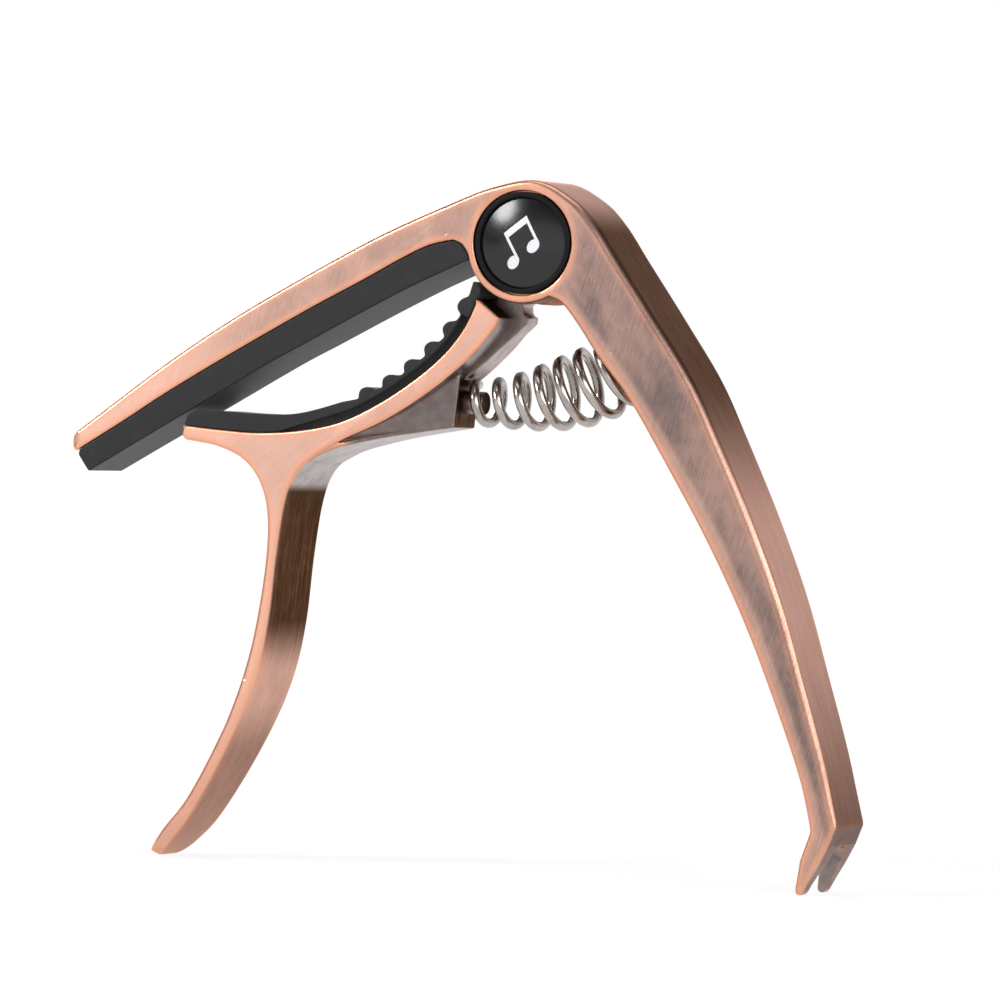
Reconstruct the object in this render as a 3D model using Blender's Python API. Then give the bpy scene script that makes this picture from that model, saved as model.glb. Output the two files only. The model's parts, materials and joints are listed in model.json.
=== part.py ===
"""A spring-clamp guitar capo: two die-cast levers on one pivot, opened by squeezing the handles.

Lengths here are in millimetres and become metres when a mesh is made. Shapes are drawn in
the capo's own side view: the pivot axis runs along Y through the drawing's origin, X points
from the clamping bar towards the rear handle, and Z points up. The root empty lifts the
drawing so that the front handle's tip and the fork's tips both stand on Z = 0.
"""

import math

import bmesh
import bpy
from mathutils import Vector

MM = 0.001

# Overall layout
PIVOT_X = 8.6  # pivot from the middle of the capo's length
PIVOT_Z = 81.4  # pivot above the handle tips
HALF_WIDTH = 6.3  # half the levers' width at the pivot
GAP = 0.3  # between pieces that touch
FACE_GAP = 0.15  # between flat faces that turn on each other
ROUND_STEPS = 40  # chords in a full circle
BEYOND = 95.0  # how far a cutting tool reaches where it goes right through

# Pivot: radii, and distances from the capo's middle plane
HUB_RADIUS = 7.75
RECESS_RADIUS = 6.75
RECESS_FLOOR = 4.8
COUNTERBORE_RADIUS = 4.45
COUNTERBORE_FLOOR = 3.9
BORE_RADIUS = 2.15
TONGUE_RADIUS = 6.6
TONGUE_HALF = 1.8
TONGUE_SLOT_RADIUS = 6.95
TONGUE_SLOT_HALF = 2.6
TONGUE_SLOT_SWEEP = (215.0, 305.0)  # where the slot breaks out of the hub, in degrees
SHANK_RADIUS = 2.0
HEAD_RADIUS = 4.2
HEAD_THICKNESS = 0.7
DRIVE_SLOT = (1.0, 0.35)  # width and depth
BARREL_END = 3.3
THREAD_RADIUS = 1.25
THREAD_BORE_RADIUS = 1.5
THREAD_END = -1.0
THREAD_BORE_END = -1.5
WASHER_RADIUS = 5.6

# Domed button in each side of the hub
BEZEL_RADIUS = 6.55
BEZEL_RIM = 0.6
BEZEL_FLOOR = 0.4
BADGE_THICKNESS = 0.2
DOME_EDGE = 0.25
DOME_RISE = 0.75
DOME_STEPS = 5  # chords from the dome's edge to its crown

# Upper lever in side view: bar top, hub and outer ridge of the rear handle
RIDGE = [
    (-62.5, -26.2), (-50.0, -17.0), (-40.0, -10.5), (-30.0, -4.8), (-20.0, 0.5),
    (-10.3, 4.8), (-4.3, 7.1), (1.6, 8.1), (6.6, 5.8), (9.8, 2.8), (13.1, -1.8),
    (18.5, -9.3), (23.7, -16.8), (27.6, -24.3), (32.4, -34.2), (36.6, -44.2),
    (39.9, -54.1), (43.1, -64.1), (45.2, -72.4),
]
FORK_TIP = [
    (44.2, -75.1), (42.9, -77.6), (41.5, -80.0), (40.9, -81.1), (40.4, -81.4), (39.9, -81.2),
    (39.8, -80.7), (40.3, -77.1),
]
HANDLE_INNER = [
    (41.6, -73.3), (39.9, -66.7), (36.0, -56.8), (31.6, -46.9), (26.3, -37.0),
    (20.2, -27.1), (15.3, -19.6), (11.0, -14.4), (8.0, -10.3), (5.8, -7.7), (4.2, -6.9),
]
HUB_ARC = (300.0, 199.0)  # degrees, from the rear handle to the string pad's pocket
PAD_ARC_END = 194.0  # degrees, where the string pad leaves the hub
POCKET_END = [(-7.6, -1.5), (-8.4, -0.4)]
BAR_UNDERSIDE = [
    (-9.6, 0.1), (-13.0, -0.7), (-17.0, -2.6), (-22.3, -5.5), (-29.9, -9.5),
    (-41.3, -15.9), (-49.8, -20.9), (-55.6, -24.6), (-62.6, -28.9),
]
BAR_NOSE = [(-63.25, -28.4), (-63.45, -27.3)]

# Upper lever across its width
BAR_TIP_X = -63.45
BAR_TIP_HALF = 5.0
BAR_TIP_CORNER = 1.3
BAR_TAPER = 0.0239  # growth of the half-width for each millimetre towards the pivot
HANDLE_TAPER = 0.0156
HANDLE_TAPER_START = -9.0

# Channel along the inside of the rear handle
CHANNEL_FLOOR = 1.8
CHANNEL_WALL = 1.15
CHANNEL_TOOL_DEPTH = 14.0
CHANNEL_SPAN = (0.555, 0.93)  # where it starts and ends, as parts of the ridge's length

# Fork for lifting bridge pins: drawn on the fork's own plane, from the kink to the tips
FORK_KINK = (43.8, -72.8)
FORK_DIRECTION = (-0.378, -0.926)
FORK_SLOT_ROOT = 4.5  # centre of the slot's round end
FORK_SLOT_HALF = 2.45
FORK_SLOT_MIDDLE = (6.2, 3.1)  # distance from the kink, and half the slot's width there
FORK_SLOT_MOUTH = (12.0, 3.9)
FORK_TOOL_HALF = 6.0  # the slot's tool on each side of the blade

# String pad
STRING_PAD_UNDERSIDE = [
    (-60.6, -31.5), (-54.5, -27.9), (-46.8, -23.4), (-35.4, -16.7), (-29.8, -13.7),
    (-22.2, -9.6), (-15.4, -6.1), (-10.0, -3.6), (-7.9, -2.6),
]
STRING_PAD_NOSE = (-62.2, -29.3)
STRING_GROOVE_SPAN = (-52.5, -14.0)
GROOVE_HALF = 2.2
GROOVE_DEPTH = 1.05
TENON_ROOT = 1.0  # how deep each pad's tongue starts inside the pad

# Lower lever in side view: saddle, then down the inside of the front handle and back up
SADDLE_TOP = [
    (-46.6, -24.9), (-41.4, -25.3), (-36.0, -25.5), (-30.0, -25.0), (-24.4, -23.7),
    (-18.9, -21.0), (-14.0, -17.7), (-10.4, -14.6), (-8.0, -11.6), (-6.6, -8.9), (-6.1, -7.4),
]
SADDLE_END = [(-5.5, -7.5), (-2.8, -9.6)]
SADDLE_UNDERSIDE = [
    (-3.3, -10.9), (-5.6, -13.7), (-9.3, -17.2), (-14.0, -20.7), (-18.8, -23.6),
    (-24.3, -26.2), (-28.5, -28.7), (-30.6, -31.1), (-31.7, -35.0), (-32.6, -42.0),
    (-33.3, -49.8), (-34.6, -56.5), (-37.0, -63.0), (-40.4, -69.8), (-44.3, -76.2),
    (-47.0, -79.3), (-49.0, -81.2),
]
FRONT_HANDLE_OUTER = [
    (-50.3, -80.7), (-48.1, -77.6), (-44.9, -73.7), (-41.4, -67.6), (-38.4, -61.2),
    (-36.2, -54.0), (-34.9, -46.6), (-34.3, -40.0), (-34.6, -35.0), (-35.9, -31.4),
    (-38.3, -28.9), (-41.8, -27.5), (-44.9, -27.0), (-46.4, -26.8),
]
FRONT_TIP = (-49.7, -81.4)
SADDLE_NOSE = (-46.9, -26.1)
FRONT_HANDLE_HALF = [  # height, and half the lever's width there
    (10.0, 6.6), (-50.0, 6.6), (-58.0, 6.45), (-64.0, 6.1), (-70.0, 5.7), (-75.0, 5.3),
    (-78.5, 4.9), (-80.3, 4.2), (-81.2, 2.6), (-81.6, 0.0),
]
NECK_GROOVE_SPAN = (-43.5, -12.5)

# Tongue that carries the lower lever on the pivot, and the boss for the spring
TONGUE_ARC = (-76.0, 225.0)
TONGUE_ROOT = [
    (-5.4, -8.3), (-6.5, -10.4), (-8.6, -13.8), (-12.0, -17.4), (-12.5, -19.0), (-9.4, -18.0),
    (-7.4, -16.4), (-1.2, -10.8), (-0.7, -10.1), (-0.6, -9.5), (-1.2, -9.1), (-1.4, -7.9),
]
BOSS_SIDE = [
    (-9.0, -16.5), (-9.6, -24.0), (-13.0, -24.6), (-18.0, -25.5), (-22.3, -26.5),
    (-26.0, -27.6), (-29.0, -29.2), (-30.4, -28.9), (-30.0, -26.9), (-24.4, -25.0),
    (-18.9, -22.3), (-14.0, -19.2), (-11.0, -16.6),
]
BOSS_END_X = -9.3
BOSS_END_HALF = 3.5
BOSS_TAPER = 0.17
BOSS_WIDEST = 6.0
BOSS_STUD_RADIUS = 1.5
BOSS_STUD_LENGTH = 2.4
BOSS_STUD_ROOT = 2.0  # how far the stud starts inside the boss

# Neck pad
NECK_PAD_TOP = [
    (-46.3, -24.4), (-46.1, -23.7), (-45.4, -23.2), (-44.2, -22.95), (-39.5, -23.1),
    (-33.0, -23.1), (-30.1, -22.8), (-27.3, -22.1), (-24.4, -21.2),
]
RIB_LINE = [
    (-22.0, -20.7), (-18.5, -19.0), (-15.4, -16.9), (-12.6, -14.6), (-10.1, -12.1),
    (-8.2, -9.5), (-7.0, -6.9), (-6.3, -4.4),
]
RIB_COUNT = 6
RIB_PITCH = 3.62
RIB_PROFILE = [(0.0, 0.0), (0.35, 0.7), (0.85, 1.05), (1.7, 0.95), (2.3, 0.45), (2.7, -0.05)]
NECK_PAD_END = [(-6.55, -5.0), (-6.05, -5.45), (-5.65, -5.9), (-5.6, -7.05)]
UNDERCUT_SPAN = (-38.0, -7.0)
UNDERCUT_HEIGHT = 1.1
UNDERCUT_RAMP = 14.0
UNDERCUT_HALF = 5.3

# Spring: its wire runs round a bowed axis from the boss to the channel floor
SPRING_START = (-9.0, -20.7)
SPRING_BOW = (6.0, -20.9)
SPRING_END = (18.3, -12.4)
SPRING_TURNS = 8.5
SPRING_STEPS = 14  # chords in a turn
SPRING_PHASE = 20.0
WIRE_RADIUS = 0.65
WIRE_SIDES = 6
SPRING_SEAT = 0.75  # from each end of the axis to the wire's centre line
# Part of the spring's length, and the wire's radius round the axis there
COIL_RADII = [(0.0, 2.5), (0.6, 4.55), (1.0, 3.7)]
CHANNEL_STUD_RADIUS = 2.4
CHANNEL_STUD_LENGTH = 3.0


def clear_scene():
    for item in list(bpy.data.objects):
        bpy.data.objects.remove(item, do_unlink=True)


def material(name, colour, roughness, metallic):
    made = bpy.data.materials.new(name)
    made.use_nodes = True
    shader = made.node_tree.nodes["Principled BSDF"]
    shader.inputs["Base Color"].default_value = (*colour, 1.0)
    shader.inputs["Roughness"].default_value = roughness
    shader.inputs["Metallic"].default_value = metallic
    return made


def empty(name, parent, place):
    made = bpy.data.objects.new(name, None)
    made.parent = parent
    made.location = place
    bpy.context.collection.objects.link(made)
    return made


def add_object(name, mesh, parent, finish=None):
    """Closes a bmesh into an object under the parent empty; without a finish it is a tool."""
    bmesh.ops.recalc_face_normals(mesh, faces=mesh.faces)
    data = bpy.data.meshes.new(name)
    mesh.to_mesh(data)
    mesh.free()
    made = bpy.data.objects.new(name, data)
    made.parent = parent
    bpy.context.collection.objects.link(made)
    if finish:
        data.materials.append(finish)
    else:
        made.hide_render = True
        made.display_type = "WIRE"
    return made


def combine(body, tool, operation):
    modifier = body.modifiers.new(tool.name, "BOOLEAN")
    modifier.operation = operation
    modifier.object = tool
    modifier.solver = "EXACT"


def spline(points, steps=3):
    """A smooth curve through the points, with this many chords in each span."""
    last = len(points) - 1
    curve = []
    for i in range(last):
        before, start, end, after = (Vector(points[min(max(i + k, 0), last)]) for k in (-1, 0, 1, 2))
        for step in range(steps):
            t = step / steps
            square = 2 * before - 5 * start + 4 * end - after
            cube = 3 * start - before - 3 * end + after
            curve.append(start + 0.5 * (t * (end - before) + t * t * square + t**3 * cube))
    return curve + [Vector(points[-1])]


def arc(radius, start, end, steps, centre=(0.0, 0.0)):
    """Points on an arc between two angles in degrees."""
    curve = []
    for step in range(steps + 1):
        angle = math.radians(start + (end - start) * step / steps)
        curve.append(Vector(centre) + radius * Vector((math.cos(angle), math.sin(angle))))
    return curve


def offset(curve, distance):
    """The curve moved to its left by a distance."""
    moved = []
    last = len(curve) - 1
    for i, point in enumerate(curve):
        along = (curve[min(i + 1, last)] - curve[max(i - 1, 0)]).normalized()
        moved.append(point + distance * Vector((-along.y, along.x)))
    return moved


def between(curve, low, high):
    """The stretch of a curve whose first coordinate lies between two values."""
    return [point for point in curve if low <= point.x <= high]


def stretch(curve, start, end):
    """The stretch of a curve between two parts of its number of chords."""
    last = len(curve) - 1
    return curve[round(start * last) : round(end * last) + 1]


def side_view(u, v, depth):
    return Vector((u, depth, v))


def plan_view(u, v, depth):
    return Vector((u, v, depth))


def rear_view(u, v, depth):
    return Vector((depth, u, v))


def prism(name, outline, depth, view, parent, finish=None):
    """The outline given thickness: depth(u, v) returns its low and high limits at a point."""
    mesh = bmesh.new()
    rings = []
    for side in (0, 1):
        rings.append([mesh.verts.new(MM * view(u, v, depth(u, v)[side])) for u, v in outline])
        mesh.faces.new(rings[side])
    count = len(outline)
    for i in range(count):
        after = (i + 1) % count
        mesh.faces.new((rings[0][i], rings[0][after], rings[1][after], rings[1][i]))
    return add_object(name, mesh, parent, finish)


def through(u, v):
    """The limits of a tool that goes right through the capo."""
    return -BEYOND, BEYOND


def slab(name, outline, half, parent, finish=None):
    """A side-view outline of a constant or tapering half-width."""

    def depth(u, v):
        reach = half(u, v) if callable(half) else half
        return -reach, reach

    return prism(name, outline, depth, side_view, parent, finish)


def turned(name, profile, closed, parent, finish=None, steps=ROUND_STEPS):
    """A profile of (radius, y) points turned about the pivot axis; closed joins its two ends."""
    mesh = bmesh.new()
    rings = []
    for radius, y in profile:
        around = steps if radius > 0 else 1
        ring = []
        for step in range(around):
            angle = 2 * math.pi * step / steps
            place = Vector((radius * math.cos(angle), y, radius * math.sin(angle)))
            ring.append(mesh.verts.new(MM * place))
        rings.append(ring)
    pairs = list(zip(rings, rings[1:])) + ([(rings[-1], rings[0])] if closed else [])
    for first, second in pairs:
        for step in range(steps):
            after = (step + 1) % steps
            corners = [first[step % len(first)], first[after % len(first)]]
            corners += [second[after % len(second)], second[step % len(second)]]
            mesh.faces.new(list(dict.fromkeys(corners)))
    return add_object(name, mesh, parent, finish)


def rod(name, start, direction, length, radius, parent):
    """A tool: a round bar in the middle plane, from a side-view point along a direction."""
    along = side_view(*Vector(direction).normalized(), 0.0)
    across = Vector((0.0, 1.0, 0.0)).cross(along)
    mesh = bmesh.new()
    rings = []
    for reach in (0.0, length):
        middle = side_view(*start, 0.0) + reach * along
        ring = []
        for point in arc(radius, 0.0, 360.0, ROUND_STEPS // 2)[:-1]:
            ring.append(mesh.verts.new(MM * (middle + point.x * across + point.y * Vector((0, 1, 0)))))
        rings.append(ring)
        mesh.faces.new(ring)
    count = len(rings[0])
    for i in range(count):
        after = (i + 1) % count
        mesh.faces.new((rings[0][i], rings[0][after], rings[1][after], rings[1][i]))
    return add_object(name, mesh, parent)


def spring_axis(t):
    """Side-view point and direction of the spring's bowed axis, t running from 0 to 1."""
    start, bow, end = Vector(SPRING_START), Vector(SPRING_BOW), Vector(SPRING_END)
    point = (1 - t) ** 2 * start + 2 * t * (1 - t) * bow + t * t * end
    along = (1 - t) * (bow - start) + t * (end - bow)
    return point, along.normalized()


def coil_radius(t):
    """Radius of the wire's centre line, eased between the stations of COIL_RADII."""
    for (low, first), (high, second) in zip(COIL_RADII, COIL_RADII[1:]):
        if t <= high:
            part = (t - low) / (high - low)
            return first + (second - first) * part * part * (3 - 2 * part)
    return COIL_RADII[-1][1]


def ridge_curve():
    return spline(RIDGE)


def upper_side_outline():
    hub = arc(HUB_RADIUS, *HUB_ARC, 12)
    fork = [Vector(point) for point in FORK_TIP]
    nose = [Vector(point) for point in BAR_NOSE]
    pocket = [Vector(point) for point in POCKET_END]
    return ridge_curve() + fork + spline(HANDLE_INNER) + hub + pocket + spline(BAR_UNDERSIDE) + nose


def bar_plan_outline():
    """Tapers the bar towards its tip and rounds the tip's corners."""
    corner_x = BAR_TIP_X + BAR_TIP_CORNER
    corner_y = BAR_TIP_HALF - BAR_TIP_CORNER
    far_half = BAR_TIP_HALF + BAR_TAPER * (BEYOND - BAR_TIP_X)
    lower = arc(BAR_TIP_CORNER, 180.0, 270.0, 5, (corner_x, -corner_y))
    upper = arc(BAR_TIP_CORNER, 90.0, 180.0, 5, (corner_x, corner_y))
    return lower + [Vector((BEYOND, -far_half)), Vector((BEYOND, far_half))] + upper


def handle_half(z):
    return HALF_WIDTH + HANDLE_TAPER * (z - HANDLE_TAPER_START)


def handle_rear_outline():
    top, bottom = handle_half(BEYOND), handle_half(-BEYOND)
    return [
        Vector((-top, BEYOND)), Vector((top, BEYOND)),
        Vector((bottom, -BEYOND)), Vector((-bottom, -BEYOND)),
    ]


def channel_tool(parent):
    ridge = stretch(ridge_curve(), *CHANNEL_SPAN)
    floor = offset(ridge, -CHANNEL_FLOOR)
    mouth = offset(ridge, -CHANNEL_TOOL_DEPTH)
    return slab(
        "channel_tool",
        floor + mouth[::-1],
        lambda x, z: handle_half(z) - CHANNEL_WALL,
        parent,
    )


def fork_slot_tool(parent):
    """A slot through the fork's blade that widens from its round end to the tips."""
    kink, along = Vector(FORK_KINK), Vector(FORK_DIRECTION).normalized()
    normal = Vector((-along.y, along.x))

    def fork_view(u, v, depth):
        return side_view(*(kink + v * along + depth * normal), u)

    right = [(FORK_SLOT_MIDDLE[1], FORK_SLOT_MIDDLE[0]), (FORK_SLOT_MOUTH[1], FORK_SLOT_MOUTH[0])]
    left = [(-y, reach) for y, reach in reversed(right)]
    end = arc(FORK_SLOT_HALF, 180.0, 360.0, 10, (0.0, FORK_SLOT_ROOT))
    limits = (-FORK_TOOL_HALF, FORK_TOOL_HALF)
    return prism("fork_slot_tool", end + right + left, lambda u, v: limits, fork_view, parent)


def tongue_slot_tool(parent):
    start, end = TONGUE_SLOT_SWEEP
    opening = arc(2 * HUB_RADIUS, start, end, 1)
    round_part = arc(TONGUE_SLOT_RADIUS, end, start + 360.0, 30)
    return slab("tongue_slot_tool", opening + round_part, TONGUE_SLOT_HALF, parent)


def pivot_tool(name, side, parent):
    """Recess, counterbore and bore in one ear, stepped from the outside inwards."""
    outside, inside = HALF_WIDTH + 1.0, TONGUE_HALF - 1.0
    profile = [
        (0.0, outside), (RECESS_RADIUS, outside), (RECESS_RADIUS, RECESS_FLOOR),
        (COUNTERBORE_RADIUS, RECESS_FLOOR), (COUNTERBORE_RADIUS, COUNTERBORE_FLOOR),
        (BORE_RADIUS, COUNTERBORE_FLOOR), (BORE_RADIUS, inside), (0.0, inside),
    ]
    return turned(name, [(radius, side * y) for radius, y in profile], False, parent)


def groove_tool(name, curve, span, side, parent):
    """A groove of GROOVE_DEPTH into the left (1) or right (-1) of a curve."""
    line = between(curve, *span)
    above = offset(line, side * GROOVE_DEPTH)
    below = offset(line, -side * GROOVE_DEPTH)
    return slab(name, above + below[::-1], GROOVE_HALF, parent)


def make_upper_lever(root, finish):
    lever = slab("upper_lever", upper_side_outline(), HALF_WIDTH, root, finish)
    plan = prism("bar_plan_tool", bar_plan_outline(), through, plan_view, root)
    rear = prism("handle_rear_tool", handle_rear_outline(), through, rear_view, root)
    combine(lever, plan, "INTERSECT")
    combine(lever, rear, "INTERSECT")
    combine(lever, channel_tool(root), "DIFFERENCE")
    end, along = spring_axis(1.0)
    stud_start = end + CHANNEL_FLOOR * 0.5 * along
    stud_length = CHANNEL_STUD_LENGTH + CHANNEL_FLOOR * 0.5
    stud = rod("channel_stud", stud_start, -along, stud_length, CHANNEL_STUD_RADIUS, root)
    combine(lever, stud, "UNION")
    combine(lever, tongue_slot_tool(root), "DIFFERENCE")
    combine(lever, pivot_tool("front_pivot_tool", -1, root), "DIFFERENCE")
    combine(lever, pivot_tool("rear_pivot_tool", 1, root), "DIFFERENCE")
    underside = spline(BAR_UNDERSIDE)[::-1]
    combine(lever, groove_tool("string_groove_tool", underside, STRING_GROOVE_SPAN, 1, root), "DIFFERENCE")
    combine(lever, fork_slot_tool(root), "DIFFERENCE")
    return lever


def make_string_pad(root, finish):
    top = offset(spline(BAR_UNDERSIDE), GAP)
    end = arc(HUB_RADIUS + GAP, HUB_ARC[1], PAD_ARC_END, 2)
    bottom = [Vector(point) for point in STRING_PAD_UNDERSIDE]
    outline = bottom + end + offset([Vector(point) for point in POCKET_END], GAP)
    outline += top[:-1] + [Vector(STRING_PAD_NOSE)]
    pad = slab("string_pad", outline, HALF_WIDTH, root, finish)
    plan = prism("pad_plan_tool", bar_plan_outline(), through, plan_view, root)
    combine(pad, plan, "INTERSECT")
    line = between(spline(BAR_UNDERSIDE)[::-1], *STRING_GROOVE_SPAN)[1:-1]
    tenon = offset(line, GROOVE_DEPTH - GAP) + offset(line, -GAP - TENON_ROOT)[::-1]
    combine(pad, slab("string_tenon", tenon, GROOVE_HALF - GAP, root), "UNION")
    return pad


def make_lower_lever(swing, finish):
    outline = spline(SADDLE_TOP) + [Vector(point) for point in SADDLE_END]
    outline += spline(SADDLE_UNDERSIDE) + [Vector(FRONT_TIP)]
    outline += spline(FRONT_HANDLE_OUTER) + [Vector(SADDLE_NOSE)]
    lever = slab("lower_lever", outline, HALF_WIDTH, swing, finish)
    right = spline([(half, z) for z, half in FRONT_HANDLE_HALF[:-1]], 2)
    left = [Vector((-point.x, point.y)) for point in reversed(right)]
    rear = prism(
        "front_handle_tool", right + [Vector((0.0, FRONT_HANDLE_HALF[-1][0]))] + left,
        through, rear_view, swing,
    )
    combine(lever, rear, "INTERSECT")
    boss = slab(
        "spring_boss", BOSS_SIDE,
        lambda x, z: min(BOSS_WIDEST, BOSS_END_HALF + BOSS_TAPER * (BOSS_END_X - x)), swing,
    )
    combine(lever, boss, "UNION")
    tongue = arc(TONGUE_RADIUS, *TONGUE_ARC, 30) + [Vector(point) for point in TONGUE_ROOT]
    combine(lever, slab("tongue", tongue, TONGUE_HALF, swing), "UNION")
    start, along = spring_axis(0.0)
    stud_start = start - BOSS_STUD_ROOT * along
    stud_length = BOSS_STUD_LENGTH + BOSS_STUD_ROOT
    combine(lever, rod("boss_stud", stud_start, along, stud_length, BOSS_STUD_RADIUS, swing), "UNION")
    side = 2 * TONGUE_HALF
    bore = [(0.0, -side), (BORE_RADIUS, -side), (BORE_RADIUS, side), (0.0, side)]
    combine(lever, turned("tongue_bore_tool", bore, False, swing), "DIFFERENCE")
    groove = groove_tool("neck_groove_tool", spline(SADDLE_TOP), NECK_GROOVE_SPAN, -1, swing)
    combine(lever, groove, "DIFFERENCE")
    return lever


def point_along(curve, reach):
    """The point and direction at a distance along a curve."""
    for start, end in zip(curve, curve[1:]):
        length = (end - start).length
        if reach <= length:
            return start + (end - start) * (reach / length), (end - start).normalized()
        reach -= length
    return curve[-1], (curve[-1] - curve[-2]).normalized()


def rib_points():
    line = spline(RIB_LINE, 4)
    points = []
    for rib in range(RIB_COUNT):
        for reach, height in RIB_PROFILE:
            place, along = point_along(line, rib * RIB_PITCH + reach)
            points.append(place + height * Vector((-along.y, along.x)))
    return points


def undercut_tool(limits, swing):
    """Takes a strip off the neck pad's base along one side."""
    line = between(spline(SADDLE_TOP), *UNDERCUT_SPAN)
    upper = [point for point in offset(line, UNDERCUT_HEIGHT) if point.x > UNDERCUT_SPAN[0] + UNDERCUT_RAMP]
    strip = offset(line, -UNDERCUT_HEIGHT) + upper[::-1]
    return prism("undercut_tool", strip, lambda u, v: limits, side_view, swing)


def make_neck_pad(swing, finish):
    seat = offset(spline(SADDLE_TOP), GAP)
    top = [Vector(point) for point in NECK_PAD_TOP]
    end = [Vector(point) for point in NECK_PAD_END]
    outline = top + rib_points() + end + seat[::-1]
    pad = slab("neck_pad", outline, HALF_WIDTH, swing, finish)
    line = between(spline(SADDLE_TOP), *NECK_GROOVE_SPAN)[1:-1]
    tenon = offset(line, GAP + TENON_ROOT) + offset(line, GAP - GROOVE_DEPTH)[::-1]
    combine(pad, slab("neck_tenon", tenon, GROOVE_HALF - GAP, swing), "UNION")
    for limits in ((UNDERCUT_HALF, BEYOND), (-BEYOND, -UNDERCUT_HALF)):
        combine(pad, undercut_tool(limits, swing), "DIFFERENCE")
    return pad


def make_spring(root, finish):
    """A wire swept round the bowed axis; its end turns seat on the boss and the channel floor."""
    mesh = bmesh.new()
    count = round(SPRING_TURNS * SPRING_STEPS)
    inset = SPRING_SEAT / (Vector(SPRING_END) - Vector(SPRING_START)).length
    centres = []
    for i in range(count + 1):
        part = i / count
        point, along = spring_axis(inset + part * (1 - 2 * inset))
        turn = -2 * math.pi * part * SPRING_TURNS + math.radians(SPRING_PHASE)
        up = side_view(-along.y, along.x, 0.0)
        swing = math.cos(turn) * up + math.sin(turn) * Vector((0.0, 1.0, 0.0))
        centres.append(side_view(*point, 0.0) + coil_radius(part) * swing)
    rings = []
    for i, centre in enumerate(centres):
        forward = (centres[min(i + 1, count)] - centres[max(i - 1, 0)]).normalized()
        _, along = spring_axis(i / count)
        outward = side_view(*along, 0.0).cross(forward).normalized()
        across = forward.cross(outward)
        ring = []
        for corner in arc(WIRE_RADIUS, 0.0, 360.0, WIRE_SIDES)[:-1]:
            ring.append(mesh.verts.new(MM * (centre + corner.x * outward + corner.y * across)))
        rings.append(ring)
    for first, second in zip(rings, rings[1:]):
        for side in range(WIRE_SIDES):
            after = (side + 1) % WIRE_SIDES
            mesh.faces.new((first[side], first[after], second[after], second[side]))
    mesh.faces.new(rings[0])
    mesh.faces.new(rings[-1])
    return add_object("coil_spring", mesh, root, finish)


def drive_slot(name, side, parent):
    """A screwdriver slot in the outer face of a pivot head."""
    width, depth = DRIVE_SLOT
    bottom = COUNTERBORE_FLOOR + FACE_GAP + HEAD_THICKNESS - depth
    reach = 1.5 * HEAD_RADIUS
    outline = [
        (-reach, -width / 2), (reach, -width / 2), (reach, width / 2), (-reach, width / 2),
    ]
    limits = sorted((side * bottom, side * (bottom + 2 * HEAD_THICKNESS)))
    return prism(name, outline, lambda u, v: limits, side_view, parent)


def make_pivot(root, finish):
    seat = COUNTERBORE_FLOOR + FACE_GAP
    top = seat + HEAD_THICKNESS
    barrel = [
        (0.0, -top), (HEAD_RADIUS, -top), (HEAD_RADIUS, -seat), (SHANK_RADIUS, -seat),
        (SHANK_RADIUS, BARREL_END), (THREAD_BORE_RADIUS, BARREL_END),
        (THREAD_BORE_RADIUS, THREAD_BORE_END), (0.0, THREAD_BORE_END),
    ]
    screw = [
        (0.0, THREAD_END), (THREAD_RADIUS, THREAD_END), (THREAD_RADIUS, seat),
        (HEAD_RADIUS, seat), (HEAD_RADIUS, top), (0.0, top),
    ]
    combine(
        turned("pivot_barrel", barrel, False, root, finish),
        drive_slot("barrel_slot_tool", -1, root), "DIFFERENCE",
    )
    combine(
        turned("pivot_screw", screw, False, root, finish),
        drive_slot("screw_slot_tool", 1, root), "DIFFERENCE",
    )


def make_washer(name, side, root, finish):
    low, high = TONGUE_HALF + FACE_GAP, TONGUE_SLOT_HALF - FACE_GAP
    profile = [
        (BORE_RADIUS, side * low), (WASHER_RADIUS, side * low),
        (WASHER_RADIUS, side * high), (BORE_RADIUS, side * high),
    ]
    turned(name, profile, True, root, finish)


def make_button(place, side, root, finishes):
    """A black cup pressed in the hub's recess, a printed disc in it and a clear dome on top."""
    floor = RECESS_FLOOR + FACE_GAP
    disc_low = floor + BEZEL_FLOOR + FACE_GAP
    dome_low = disc_low + BADGE_THICKNESS + FACE_GAP
    inner = BEZEL_RADIUS - BEZEL_RIM
    disc_radius = inner - FACE_GAP
    bezel = [
        (0.0, floor), (BEZEL_RADIUS, floor), (BEZEL_RADIUS, HALF_WIDTH - FACE_GAP),
        (BEZEL_RADIUS - FACE_GAP, HALF_WIDTH), (inner, HALF_WIDTH),
        (inner, floor + BEZEL_FLOOR), (0.0, floor + BEZEL_FLOOR),
    ]
    badge = [
        (0.0, disc_low), (disc_radius, disc_low),
        (disc_radius, disc_low + BADGE_THICKNESS), (0.0, disc_low + BADGE_THICKNESS),
    ]
    dome = [(0.0, dome_low), (disc_radius, dome_low)]
    for step in range(DOME_STEPS):
        angle = math.pi / 2 * step / DOME_STEPS
        dome.append((disc_radius * math.cos(angle), dome_low + DOME_EDGE + DOME_RISE * math.sin(angle)))
    dome.append((0.0, dome_low + DOME_EDGE + DOME_RISE))
    for kind, profile in (("bezel", bezel), ("badge", badge), ("dome", dome)):
        shape = [(radius, side * y) for radius, y in profile]
        turned(f"{place}_{kind}", shape, False, root, finishes[kind])


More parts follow.
